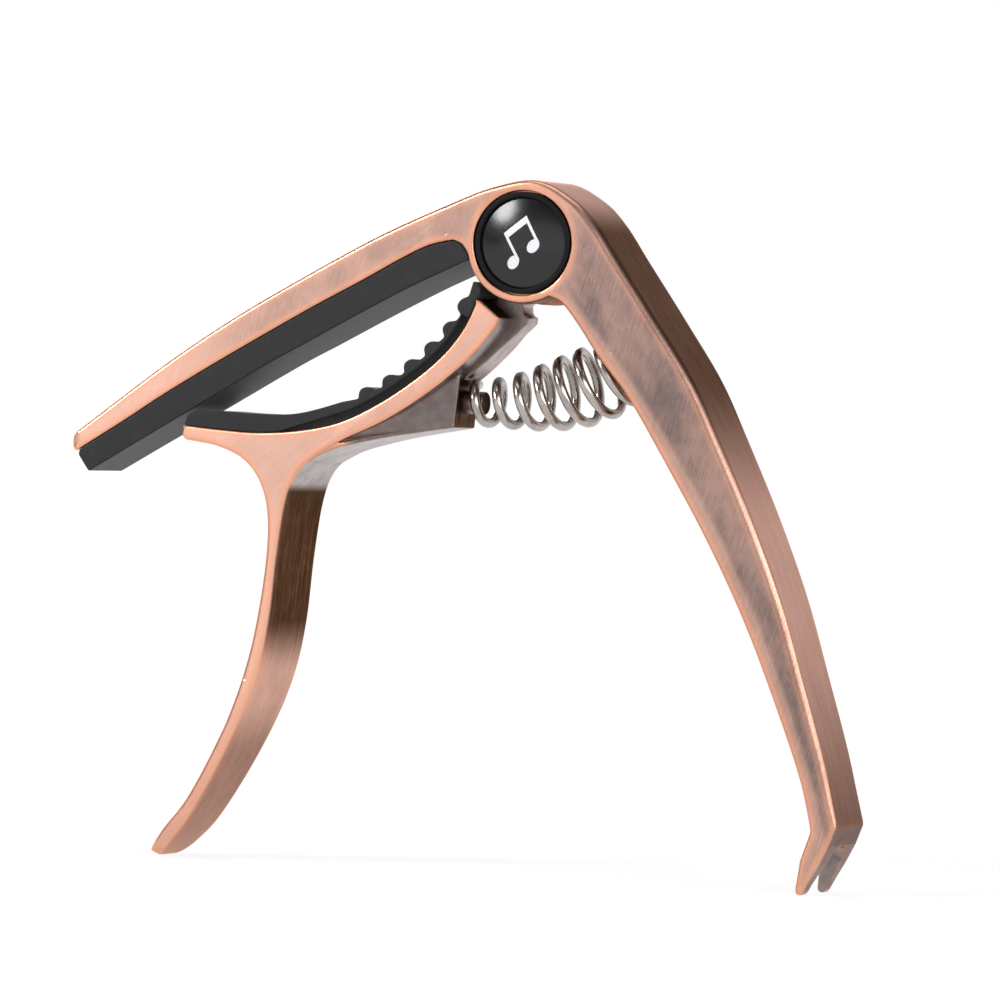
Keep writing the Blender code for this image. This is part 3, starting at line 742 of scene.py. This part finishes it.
def upper_grey(tree, parts):
    """Bare grey metal under the fork and in its slot."""
    return largest(
        tree,
        zone(tree, parts, 0.75, (0.9, 0.0, -0.4), z=(-72.0, -73.5, OPEN, OPEN)),
        zone(tree, parts, 0.95, **FORK_SLOT_SIDES),
    )


def lower_patina_and_reflection(tree, parts):
    """Thin brown film on the lower lever's sides and the end of its handle; on the front handle's inner
    face it is partly a painted dark reflection.
    """
    return largest(
        tree,
        zone(tree, parts, 0.3, z=(-60.0, -80.0, OPEN, OPEN)),
        zone(tree, parts, 0.22, x=(-44.0, -36.0, OPEN, OPEN), z=(-40.0, -32.0, OPEN, OPEN)),
        # inner face of the front handle: brown film and painted dark reflection
        zone(tree, parts, 0.4, INNER_FACE, z=(OPEN, OPEN, -52.0, -46.0)),
    )


def lower_black_film_shade_and_reflection(tree, parts):
    """Nearly black inside the front handle, on the ends of boss and saddle, less on their sides: the
    finish's black film, with painted dark reflection inside the front handle and painted shade on the
    boss's and the saddle's ends.
    """
    boss_end = {"x": (-10.6, -9.7, OPEN, OPEN), "z": (-24.6, -24.0, -18.0, -15.5)}
    return largest(
        tree,
        # inside the front handle: black film and painted dark reflection
        zone(tree, parts, 1.0, INNER_FACE, z=(-57.0, -49.5, -33.2, -31.8)),
        zone(tree, parts, 0.45, (1.0, 0.0, -0.2), z=(-90.0, -72.0, -68.0, -60.0)),
        # end of the boss: black film and painted shade
        zone(tree, parts, 1.0, INNER_FACE, **boss_end),
        # end of the saddle: painted shade
        zone(tree, parts, 1.0, (0.6, 0.0, 0.8), x=(-6.4, -5.8, -2.5, -1.5), y=(1.8, 2.0, OPEN, OPEN)),
        zone(tree, parts, 0.66, z=BELOW_SADDLE, y=(OPEN, OPEN, 5.6, 6.1), side=FLAT_SIDE),
    )


def lower_grey(tree, parts):
    """Bare grey metal on the tongue, the boss and the web under the saddle."""
    web = {"z": (-36.0, -34.0, OPEN, OPEN), "x": (-33.0, -31.8, OPEN, OPEN)}
    return largest(
        tree,
        zone(tree, parts, 0.97, (0.7, 0.0, -0.7), y=NARROW, **web),
        zone(tree, parts, 0.97, z=BELOW_SADDLE, x=(-31.5, -29.5, OPEN, OPEN), y=NARROW),
    )


# Copper's tones, and the tints that its sheen takes at a slant
BRIGHT = ((0.74, 0.405, 0.305), (0.80, 0.475, 0.37))
STROKED = (0.86, 0.59, 0.485)
RUBBED = (0.83, 0.36, 0.205)
BROWN = ((0.155, 0.117, 0.109), (0.225, 0.155, 0.142))
BARE = ((0.30, 0.27, 0.27), (0.42, 0.385, 0.38))
# DARK is the near-black of the finish's black film and of painted shade and painted dark reflection;
# DARK_TINT tints their sheen
DARK = (0.05, 0.03, 0.023)
COPPER_TINT, BARE_TINT, DARK_TINT = (0.96, 0.76, 0.70), (1.0, 1.0, 1.0), (0.58, 0.45, 0.38)

# Millimetres that each texture is stretched by: along and across its lines, and through the width
SIDE_STROKES = (3.6, 3.0, 0.11)
FACE_STROKES = (11.0, 0.32, 2.0)
CLOUDS = (15.0, 8.0, 6.0)
WEAR_REACH = 1.8
PIT_SIZES = (0.03, 0.07)  # as parts of the 5 mm between pits
PIT_SPACING = 5.0


def copper_material(name, brush_angle, run_angle, patina_and_shade_zones, dark_zones, grey_zones):
    """Satin antique copper: brushed, browned and greyed by zones, darkened by zones of black film, painted
    shade and painted dark reflection, and rubbed bright on its edges.
    """
    made, tree, shader = new_material(name, Metallic=1.0)
    position = drawing_position(tree)
    parts = split_position(tree, position)
    wear = edge_wear(tree, WEAR_REACH)

    side = remap(tree, parts["side"], 0.6, 0.85)
    across_side = noise(tree, squeezed(tree, position, brush_angle, SIDE_STROKES), 1.0, 3.0, 0.55)
    along_face = noise(tree, squeezed(tree, position, run_angle, FACE_STROKES), 1.0, 3.0, 0.6)
    strokes = blend_value(tree, side, along_face, across_side)
    cloud = noise(tree, squeezed(tree, position, run_angle, CLOUDS), 1.0, 3.0, 0.55)
    mottle = noise(tree, position, 0.55, 5.0, 0.62)

    # brown film, partly painted shade on the bar and painted dark reflection inside the front handle
    covered = product(
        tree, patina_and_shade_zones(tree, parts), remap(tree, cloud, 0.32, 0.62, 0.8, 1.1),
        remap(tree, strokes, 0.3, 0.65, 1.06, 0.88), remap(tree, wear, 0.1, 0.8, 1.0, 0.0),
    )
    # near-black: black film, painted shade and painted dark reflection
    dark = product(
        tree, dark_zones(tree, parts), remap(tree, mottle, 0.3, 0.55, 0.96, 1.0),
        remap(tree, strokes, 0.35, 0.7, 1.0, 0.92), remap(tree, wear, 0.9, 1.0, 1.0, 0.9),
    )
    grey = product(tree, grey_zones(tree, parts), remap(tree, wear, 0.9, 1.0, 1.0, 0.85))

    stroked = blend_colour(
        tree, remap(tree, strokes, 0.4, 0.7, 0.0, 0.45), blend_colour(tree, mottle, *BRIGHT), STROKED,
    )
    rubbed = blend_colour(tree, remap(tree, wear, 0.15, 0.8, 0.0, 0.95), stroked, RUBBED)
    filmed = blend_colour(tree, covered, rubbed, blend_colour(tree, remap(tree, mottle, 0.3, 0.7), *BROWN))
    greyed = blend_colour(tree, grey, filmed, blend_colour(tree, remap(tree, mottle, 0.35, 0.65), *BARE))
    tint = blend_colour(tree, dark, blend_colour(tree, grey, COPPER_TINT, BARE_TINT), DARK_TINT)
    base = remap(tree, strokes, 0.3, 0.7, 0.36, 0.29)
    rougher = maths(tree, "ADD", base, maths(tree, "MULTIPLY", covered, 0.08))

    pits = node(tree, "TexVoronoi", {"Vector": position, "Scale": 1 / PIT_SPACING})
    pitted = remap(tree, pits.outputs["Distance"], *PIT_SIZES)
    pocked = bump(tree, pitted, 0.04, bump(tree, mottle, 0.02))
    feed(
        tree, shader, Base_Color=blend_colour(tree, dark, greyed, DARK), Specular_Tint=tint,
        Roughness=rougher, Normal=bump(tree, strokes, 0.007, pocked),
    )
    return made


def plain_material(name, tones, roughness, stain, grain, relief, **values):
    """Two tones mixed by a stain, a roughness that varies with a grain, and a fine relief.

    Stain, grain and relief start with a noise's scale, detail and roughness; a stain adds the
    noise values where it begins and is full, and a relief adds its depth.
    """
    made, tree, shader = new_material(name, **values)
    position = drawing_position(tree)
    stained, grained, raised = (noise(tree, position, *part[:3]) for part in (stain, grain, relief))
    feed(
        tree, shader, Base_Color=blend_colour(tree, remap(tree, stained, *stain[3:]), *tones),
        Roughness=remap(tree, grained, 0.3, 0.7, *roughness), Normal=bump(tree, raised, relief[3]),
    )
    return made


def silicone_material(name, level):
    dark = (level, level, level * 1.12)
    pale = [channel * 1.7 for channel in dark]
    grain = (7.0, 4.0, 0.6)
    return plain_material(
        name, (dark, pale), (0.46, 0.62), (0.5, 4.0, 0.6, 0.4, 0.9), grain, (*grain, 0.03),
        Specular_IOR_Level=0.3, Sheen_Weight=0.06,
    )


def metal_material(name, colour, roughness):
    """Plated or turned metal with fine lines and slight staining."""
    dull = [channel * 0.72 for channel in colour]
    lines = (1.5, 4.0, 0.6)
    return plain_material(
        name, (colour, dull), (roughness * 0.8, roughness * 1.3), (0.35, 3.0, 0.6, 0.4, 0.7),
        lines, (*lines, 0.006), Metallic=1.0,
    )


def moulded_material(name, colour, roughness, specular=0.5):
    """Moulded plastic, print film or resin with a slight ripple and dust."""
    dusty = [min(1.0, channel * 1.25 + 0.004) for channel in colour]
    grain = (5.0, 4.0, 0.6)
    return plain_material(
        name, (colour, dusty), (roughness * 0.85, roughness * 1.2), (*grain, 0.45, 0.75),
        grain, (0.4, 2.0, 0.5, 0.008), Specular_IOR_Level=specular,
    )


# ---------- upper lever


def handle_half(z):
    return HALF_WIDTH + HANDLE_TAPER * (z - HANDLE_TAPER_START)


def bar_half(x, z):
    """Half the upper lever's width: tapered both ways from the hub, round at the bar's tip."""
    half = BAR_TIP_HALF + BAR_TAPER * (x - BAR_TIP_X)
    past = BAR_TIP_X + BAR_TIP_CORNER - x
    if past > 0:
        half -= BAR_TIP_CORNER - math.sqrt(max(0.0, BAR_TIP_CORNER**2 - past**2))
    return min(half, handle_half(z), HALF_WIDTH)


def by_bar_tip(point):
    return point.x < BAR_TIP_X + BAR_TIP_CORNER


def upper_outline():
    fork = vectors(FORK_OUTER) + spline(FORK_TIP, 4) + vectors(FORK_INNER)
    hub = arc(HUB_RADIUS, *HUB_ARC, 40)
    rear = spline(HANDLE_INNER) + hub + vectors(POCKET_END)
    return spline(RIDGE) + fork + rear + spline(BAR_UNDERSIDE) + vectors(BAR_NOSE)


def upper_rounding(ridge, inner):
    """Edge radius over the upper lever: broad along its outer ridge, small by the pad and fork."""

    def radius_at(x, z):
        point = Vector((x, z))
        from_ridge, along = nearest(ridge, point)
        from_inner, _ = nearest(inner, point)
        if z < FORK_KINK[1]:
            return FORK_ROUNDING
        if from_ridge < ON_LINE:
            least, most = RIDGE_ROUNDING
            return least + (most - least) * min(ease(along, 0.36, 0.5), 1 - ease(along, 0.96, 1.0))
        if from_inner < ON_LINE:
            return HANDLE_INNER_ROUNDING
        return UPPER_ROUNDING

    return radius_at


def channel_tool():
    ridge = spline(RIDGE)
    begin, end = (round(part * (len(ridge) - 1)) for part in CHANNEL_SPAN)
    ridge = ridge[begin : end + 1]
    floor = offset(ridge, -CHANNEL_FLOOR)
    mouth = offset(ridge, -CHANNEL_TOOL_DEPTH)
    return slab("channel_tool", floor + mouth[::-1], lambda x, z: handle_half(z) - CHANNEL_WALL)


def fork_slot_tool():
    """A slot through the fork's blade that widens from its round end to the tips."""
    kink, along = Vector(FORK_KINK), Vector(FORK_DIRECTION).normalized()
    normal = Vector((-along.y, along.x))

    def fork_view(u, v, depth):
        point = kink + v * along + depth * normal
        return place(point.x, u, point.y)

    right = [(FORK_SLOT_MIDDLE[1], FORK_SLOT_MIDDLE[0]), (FORK_SLOT_MOUTH[1], FORK_SLOT_MOUTH[0])]
    left = [(-y, reach) for y, reach in reversed(right)]
    end = arc(FORK_SLOT_HALF, 180.0, 360.0, 24, (0.0, FORK_SLOT_ROOT))
    limits = (-FORK_TOOL_HALF, FORK_TOOL_HALF)
    return prism("fork_slot_tool", end + right + left, lambda u, v: limits, fork_view)


def tongue_slot_tool():
    start, end = TONGUE_SLOT_SWEEP
    opening = arc(2 * HUB_RADIUS, start, end, 1)
    round_part = arc(TONGUE_SLOT_RADIUS, end, start + 360.0, 60)
    return slab("tongue_slot_tool", opening + round_part, TONGUE_SLOT_HALF)


def pivot_tool(side):
    """Recess, counterbore and bore in one ear, stepped from the outside inwards."""
    outside, inside = HALF_WIDTH + 1.0, TONGUE_HALF - 1.0
    radius, floor = COUNTERBORE
    flare = 0.2  # of the rim, which the tool leaves at a slant
    mouth = RECESS_RADIUS + 1.13 * flare
    profile = [(0.0, outside), (mouth, outside), (mouth, HALF_WIDTH + 0.11 * flare)]
    profile += arc(flare, 110.0, 180.0, 4, (RECESS_RADIUS + flare, HALF_WIDTH - flare))
    profile += [
        (RECESS_RADIUS, RECESS_FLOOR), (radius, RECESS_FLOOR), (radius, floor), (BORE_RADIUS, floor),
        (BORE_RADIUS, inside), (0.0, inside),
    ]
    return turned("pivot_tool", [(size, side * y) for size, y in profile])


def make_upper_lever(finish):
    rounding = upper_rounding(spline(RIDGE), spline(HANDLE_INNER))
    lever = casting("upper_lever_casting", upper_outline(), rounding, bar_half, finish, by_bar_tip)
    combine(lever, channel_tool(), "DIFFERENCE")
    end, along = spring_axis(1.0)
    radius, length = CHANNEL_STUD
    root = CHANNEL_FLOOR * 0.5
    combine(lever, rod("stud", end + root * along, -along, length + root, radius, 0.4), "UNION")
    for tool in (tongue_slot_tool(), pivot_tool(-1), pivot_tool(1), fork_slot_tool()):
        combine(lever, tool, "DIFFERENCE")
    mend(lever)
    shade(lever)
    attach(lever, BAR_BODY)
    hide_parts("upper_lever")


# ---------- lower lever


def lower_rounding(outer):
    """Edge radius over the lower lever: broader down the front handle."""

    def radius_at(x, z):
        distance, _ = nearest(outer, Vector((x, z)))
        most = GRIP_ROUNDING[0] if distance < ON_BACK else GRIP_ROUNDING[1]
        return LOWER_ROUNDING + (most - LOWER_ROUNDING) * (1 - ease(z, -36.0, -30.0))

    return radius_at


def front_handle_half(profile):
    """Half the lower lever's width at a height, from the handle's outline as seen from behind."""

    def half_at(x, z):
        for upper, lower in zip(profile, profile[1:]):
            if z >= lower.y:
                part = (upper.y - z) / (upper.y - lower.y)
                return min(HALF_WIDTH, upper.x + (lower.x - upper.x) * max(0.0, part))
        return 0.02

    return half_at


def make_boss():
    outline = vectors(BOSS_SIDE[:1]) + spline(BOSS_SIDE[1:7], 5) + vectors(BOSS_SIDE[7:])
    return casting(
        "boss", outline, lambda x, z: BOSS_ROUNDING,
        lambda x, z: min(BOSS_WIDEST, BOSS_END_HALF + BOSS_TAPER * (BOSS_END_X - x)),
    )


def make_tongue():
    outline = arc(TONGUE_RADIUS, *TONGUE_ARC, 60) + vectors(TONGUE_ROOT[:5]) + spline(TONGUE_ROOT[5:], 4)
    return casting("tongue", outline, lambda x, z: TONGUE_ROUNDING, lambda x, z: TONGUE_HALF)


def make_lower_lever(finish):
    outline = spline(SADDLE_TOP) + vectors(SADDLE_END) + spline(SADDLE_UNDERSIDE)
    outline += vectors([FRONT_TIP]) + spline(FRONT_HANDLE_OUTER) + vectors([SADDLE_NOSE])
    profile = spline([(half, z) for z, half in FRONT_HANDLE_HALF], 6)
    lever = casting(
        "lower_lever_casting", outline, lower_rounding(spline(FRONT_HANDLE_OUTER)),
        front_handle_half(profile), finish, lambda point: point.y < FRONT_HANDLE_HALF[6][0],
    )
    combine(lever, make_boss(), "UNION")
    combine(lever, make_tongue(), "UNION")
    start, along = spring_axis(0.0)
    radius, length, root = BOSS_STUD
    combine(lever, rod("stud", start - root * along, along, length + root, radius, 0.3), "UNION")
    side = 2 * TONGUE_HALF
    bore = [(0.0, -side), (BORE_RADIUS, -side), (BORE_RADIUS, side), (0.0, side)]
    combine(lever, turned("bore_tool", bore), "DIFFERENCE")
    mend(lever)
    shade(lever)
    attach(lever, SADDLE_BODY)
    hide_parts("lower_lever")


# ---------- pads


def make_string_pad(finish):
    top = offset(spline(BAR_UNDERSIDE), PAD_GAP)
    end = arc(HUB_RADIUS + PAD_GAP, HUB_ARC[1], PAD_ARC_END, 6)
    outline = spline(STRING_PAD_UNDERSIDE) + end + offset(vectors(POCKET_END), PAD_GAP)
    outline += top[:-1] + [Vector(STRING_PAD_NOSE)]
    pad = casting(
        "string_pad_silicone", outline, lambda x, z: STRING_PAD_ROUNDING, bar_half, finish, by_bar_tip,
    )
    shade(pad)
    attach(pad, BAR_BODY)
    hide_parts("string_pad")


def rib_points():
    line = spline(RIB_LINE)
    profile = spline(RIB_PROFILE, 3)
    points = []
    for rib in range(RIB_COUNT):
        for reach, height in profile[:-1]:
            spot, along = point_along(line, rib * RIB_PITCH + reach)
            points.append(spot + height * Vector((-along.y, along.x)))
    return points


def make_neck_pad(finish):
    seat = offset(spline(SADDLE_TOP), PAD_GAP)
    outline = spline(NECK_PAD_TOP, 5) + rib_points() + vectors(NECK_PAD_END) + seat[::-1]
    pad = casting(
        "neck_pad_silicone", outline, lambda x, z: NECK_PAD_ROUNDING, lambda x, z: HALF_WIDTH, finish,
    )
    begin, end = UNDERCUT_SPAN
    line = [point for point in spline(SADDLE_TOP) if begin <= point.x <= end]
    upper = [point for point in offset(line, UNDERCUT_HEIGHT) if point.x > begin + UNDERCUT_RAMP]
    strip = offset(line, -UNDERCUT_HEIGHT) + upper[::-1]
    for limits in ((UNDERCUT_HALF, HALF_WIDTH + 1.0), (-HALF_WIDTH - 1.0, -UNDERCUT_HALF)):
        tool = prism("undercut_tool", strip, lambda u, v, limits=limits: limits, side_view)
        combine(pad, tool, "DIFFERENCE")
    mend(pad)
    shade(pad)
    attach(pad, SADDLE_BODY)
    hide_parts("neck_pad")


# ---------- spring


def spring_axis(t):
    """Side-view point and direction of the spring's bowed axis, t running from 0 to 1."""
    start, bow, end = Vector(SPRING_START), Vector(SPRING_BOW), Vector(SPRING_END)
    point = (1 - t) ** 2 * start + 2 * t * (1 - t) * bow + t * t * end
    along = (1 - t) * (bow - start) + t * (end - bow)
    return point, along.normalized()


def coil_radius(t):
    for (low, first), (high, second) in zip(COIL_RADII, COIL_RADII[1:]):
        if t <= high:
            return first + (second - first) * ease(t, low, high)
    return COIL_RADII[-1][1]


def wire_centres(count):
    inset = SPRING_SEAT / (Vector(SPRING_END) - Vector(SPRING_START)).length
    centres = []
    for i in range(count + 1):
        part = i / count
        point, along = spring_axis(inset + part * (1 - 2 * inset))
        turn = -2 * math.pi * part * SPRING_TURNS + math.radians(SPRING_PHASE)
        up = Vector((-along.y, 0.0, along.x))
        swing = math.cos(turn) * up + math.sin(turn) * ACROSS
        centres.append(Vector((point.x, 0.0, point.y)) + coil_radius(part) * swing)
    return centres


def make_spring(finish):
    count = round(SPRING_TURNS * SPRING_STEPS)
    centres = wire_centres(count)
    mesh = bmesh.new()
    rings = []
    for i, centre in enumerate(centres):
        forward = (centres[min(i + 1, count)] - centres[max(i - 1, 0)]).normalized()
        _, along = spring_axis(i / count)
        outward = Vector((along.x, 0.0, along.y)).cross(forward).normalized()
        across = forward.cross(outward)
        ring = []
        for corner in arc(WIRE_RADIUS, 0.0, 360.0, WIRE_SIDES)[:-1]:
            ring.append(mesh.verts.new(place(*(centre + corner.x * outward + corner.y * across))))
        rings.append(ring)
    for first, second in zip(rings, rings[1:]):
        bridge(mesh, first, second)
    mesh.faces.new(rings[0])
    mesh.faces.new(rings[-1])
    spring = add_piece("coil_spring_wire", mesh, finish)
    shade(spring, 60.0)
    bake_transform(spring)
    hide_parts("coil_spring")


# ---------- domed buttons


def dome_height(radius):
    """How far the resin stands from the middle plane at a distance from the pivot axis."""
    share = min(1.0, radius / DOME_RADIUS)
    return DOME_CROWN - (DOME_CROWN - DOME_BACK - BUTTON_GAP) * share**2


def make_bezel(side, name, finish):
    inner = DOME_RADIUS + BUTTON_GAP
    lip = BEZEL_LIP
    profile = [(0.0, BEZEL_BACK), (BEZEL_RADIUS, BEZEL_BACK)]
    profile += arc(lip, 0.0, 90.0, 4, (BEZEL_RADIUS - lip, HALF_WIDTH - lip))
    profile += arc(lip, 90.0, 180.0, 4, (inner + lip, HALF_WIDTH - lip))
    floor = BEZEL_BACK + 0.4
    profile += [(inner, floor), (0.0, floor)]
    bezel = turned(name, [(radius, side * y) for radius, y in profile], finish)
    shade(bezel, 60.0)
    return bezel


def make_dome(side, name, finish):
    profile = [(0.0, DOME_BACK), (DOME_RADIUS, DOME_BACK)]
    rows = 26
    for row in range(rows):
        radius = DOME_RADIUS * math.cos(math.pi / 2 * row / rows)
        profile.append((radius, dome_height(radius)))
    profile.append((0.0, dome_height(0.0)))
    dome = turned(name, [(radius, side * y) for radius, y in profile], finish)
    shade(dome, 60.0)
    return dome


def motif_shapes():
    """A pair of beamed notes: outlines about the pivot, before they are tilted."""
    shapes = []
    lean = Matrix.Rotation(math.radians(22.0), 2)
    for middle in vectors([(-2.1, -1.7), (1.3, -1.2)]):
        circle = arc(1.0, 0.0, 360.0, 28)[:-1]
        shapes.append([lean @ Vector((point.x * 0.98, point.y * 0.72)) + middle for point in circle])
    shapes.append(vectors([(-1.5, -1.6), (-1.14, -1.6), (-1.14, 1.75), (-1.5, 1.7)]))
    shapes.append(vectors([(1.9, -1.1), (2.26, -1.1), (2.26, 2.3), (1.9, 2.25)]))
    shapes.append(vectors([(-1.5, 1.35), (2.26, 1.9), (2.26, 2.75), (-1.5, 2.2)]))
    return shapes


def make_motif(side, name, finish):
    """The printed notes, a thin layer that follows the dome."""
    mesh = bmesh.new()
    turn = Matrix.Rotation(math.radians(MOTIF_TILT), 2)
    for shape in motif_shapes():
        mesh.faces.new([mesh.verts.new((point.x, 0.0, point.y)) for point in shape])
    bmesh.ops.triangulate(mesh, faces=mesh.faces)
    bmesh.ops.subdivide_edges(mesh, edges=mesh.edges, cuts=3, use_grid_fill=True)
    bmesh.ops.solidify(mesh, geom=mesh.faces, thickness=PRINT_THICKNESS)
    depths = [vertex.co.y for vertex in mesh.verts]
    low, high = min(depths), max(depths)
    for vertex in mesh.verts:
        point = turn @ Vector((vertex.co.x, vertex.co.z))
        layer = (vertex.co.y - low) / (high - low)
        height = dome_height(point.length) - PRINT_SUNK + PRINT_THICKNESS * layer
        vertex.co = place(side * -point.x, side * height, point.y)
    motif = add_piece(name, mesh, finish)
    shade(motif, 40.0)
    return motif


def make_button(place_name, side, finishes):
    pieces = [
        (make_bezel(side, f"{place_name}_bezel_ring", finishes["bezel"]), "bezel", "black_plastic"),
        (make_dome(side, f"{place_name}_dome_resin", finishes["dome"]), "dome", "clear_resin"),
    ]
    for piece, kind, slot in pieces:
        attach(piece, BAR_BODY)
        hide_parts(f"{place_name}_{kind}")
    motif = make_motif(side, f"{place_name}_note_print", finishes["print"])
    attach(motif, BAR_BODY)


# ---------- CAD nodes that stay


def dress_nodes(steel, nylon, film):
    """Gives the CAD pieces that are shown as they are their finishes."""
    finishes = {
        "pivot_barrel": steel, "pivot_screw": steel,
        "front_thrust_washer": nylon, "rear_thrust_washer": nylon,
        "front_badge": film, "rear_badge": film,
    }
    for name, finish in finishes.items():
        data = frame["nodes"][name].data
        data.materials.clear()
        data.materials.append(finish)


# ---------- floor, light and camera


def make_floor():
    """A pale sheet: it takes soft shadows round the capo and runs out into plain white."""
    mesh = bmesh.new()
    bmesh.ops.create_circle(mesh, cap_ends=True, segments=96, radius=9.0)
    made, tree, shader = new_material("pale_floor", Roughness=0.9)
    shader.inputs["Base Color"].default_value = (0.93, 0.93, 0.93, 1.0)
    coordinates = node(tree, "TexCoord")
    away = vector_maths(tree, "DISTANCE", coordinates.outputs["Object"], (0.0, 0.0, 0.0), "Value")
    white = node(tree, "Emission", {"Color": (1.0, 1.0, 1.0, 1.0), "Strength": FLOOR_WHITE})
    share = remap(tree, away, 0.06, 0.3, 0.8, 1.0)
    mix = node(tree, "MixShader", {0: share, 1: shader.outputs[0], 2: white.outputs[0]})
    tree.links.new(mix.outputs[0], tree.nodes["Material Output"].inputs["Surface"])
    floor = add_piece("floor", mesh, made)


def aim(item, target):
    item.rotation_mode = "QUATERNION"
    item.rotation_quaternion = (target - item.location).to_track_quat("-Z", "Y")


def add_light(name, azimuth, elevation, distance, size, power):
    """A soft light facing the capo: azimuth 0 is before its near side, 90 is beyond the rear handle."""
    data = bpy.data.lights.new(name, "AREA")
    data.shape = "ELLIPSE"
    data.size, data.size_y = size
    data.energy = power
    light = bpy.data.objects.new(name, data)
    turn, rise = math.radians(azimuth), math.radians(elevation)
    away = Vector((math.sin(turn) * math.cos(rise), -math.cos(turn) * math.cos(rise), math.sin(rise)))
    centre = PIVOT * 0.5
    light.location = centre + distance * away
    aim(light, centre)
    bpy.context.scene.collection.objects.link(light)


def make_world():
    """Light for the object, brighter from behind, and a white backdrop for the camera."""
    world = bpy.data.worlds.new("studio")
    world.use_nodes = True
    tree = world.node_tree
    background = tree.nodes["Background"]
    background.inputs["Color"].default_value = (0.95, 0.97, 1.0, 1.0)
    direction = node(tree, "TexCoord")
    split = node(tree, "SeparateXYZ", {0: direction.outputs["Generated"]})
    level = remap(tree, split.outputs["Y"], -0.3, 0.75, 0.3, 0.86)
    lower = remap(tree, split.outputs["Z"], 0.3, 0.6, 1.0, 0.4)
    tree.links.new(maths(tree, "MULTIPLY", level, lower), background.inputs["Strength"])
    pale = node(tree, "Background", {"Color": (1.0, 1.0, 1.0, 1.0), "Strength": 1.0})
    rays = node(tree, "LightPath")
    seen = rays.outputs["Is Camera Ray"]
    mix = node(tree, "MixShader", {0: seen, 1: background.outputs[0], 2: pale.outputs[0]})
    tree.links.new(mix.outputs[0], tree.nodes["World Output"].inputs["Surface"])
    bpy.context.scene.world = world


def make_lights():
    add_light("key_box", -42.0, 26.0, 1.5, (0.48, 0.48), 12.0)
    add_light("front_box", -8.0, 0.0, 2.2, (2.6, 1.6), 8.2)
    add_light("top_box", 0.0, 80.0, 1.6, (1.6, 1.2), 8.0)
    add_light("right_box", 56.0, 20.0, 1.6, (2.1, 0.8), 19.0)
    add_light("rim_box", -140.0, 22.0, 1.6, (1.2, 0.8), 6.0)


def make_camera():
    azimuth, elevation, roll = (math.radians(angle) for angle in (22.0, 0.75, 2.06))
    distance = 1.0
    target = place(-4.3, 0.0, -33.1)
    sideways, forwards = math.sin(azimuth), math.cos(azimuth)
    back = Vector((sideways * math.cos(elevation), -forwards * math.cos(elevation), math.sin(elevation)))
    level = Vector((forwards, sideways, 0.0))
    right = math.cos(roll) * level + math.sin(roll) * back.cross(level)
    up = back.cross(right)
    data = bpy.data.cameras.new("camera")
    data.sensor_width = 36.0
    data.lens = 279.0
    data.clip_start, data.clip_end = 0.05, 60.0
    camera = bpy.data.objects.new("camera", data)
    axes = Matrix((right, up, back)).transposed().to_4x4()
    camera.matrix_world = Matrix.Translation(target + distance * back) @ axes
    bpy.context.scene.collection.objects.link(camera)
    bpy.context.scene.camera = camera


def main():
    bpy.context.scene.view_settings.view_transform = "Standard"
    upper_copper = copper_material("copper_upper", -74.0, 67.0, upper_patina_and_shade, upper_painted_shade_and_reflection, upper_grey)
    lower_copper = copper_material("copper_lower", -38.0, 85.0, lower_patina_and_reflection, lower_black_film_shade_and_reflection, lower_grey)
    silicone = silicone_material("silicone", 0.008)
    nickel = metal_material("nickel", (0.46, 0.415, 0.385), 0.2)
    steel = metal_material("steel", (0.6, 0.6, 0.6), 0.3)
    nylon = moulded_material("nylon", (0.78, 0.78, 0.74), 0.5)
    film = moulded_material("film", (0.012, 0.012, 0.013), 0.35)
    finishes = {
        "bezel": moulded_material("plastic", (0.003, 0.003, 0.004), 0.45, specular=0.12),
        "dome": moulded_material("resin", (0.003, 0.003, 0.004), 0.2),
        "print": moulded_material("ink", (0.62, 0.62, 0.64), 0.3),
    }
    make_camera()
    make_upper_lever(upper_copper)
    make_lower_lever(lower_copper)
    make_string_pad(silicone)
    make_neck_pad(silicone)
    make_spring(nickel)
    make_button("front", -1, finishes)
    make_button("rear", 1, finishes)
    dress_nodes(steel, nylon, film)
    make_floor()
    make_world()
    make_lights()


main()
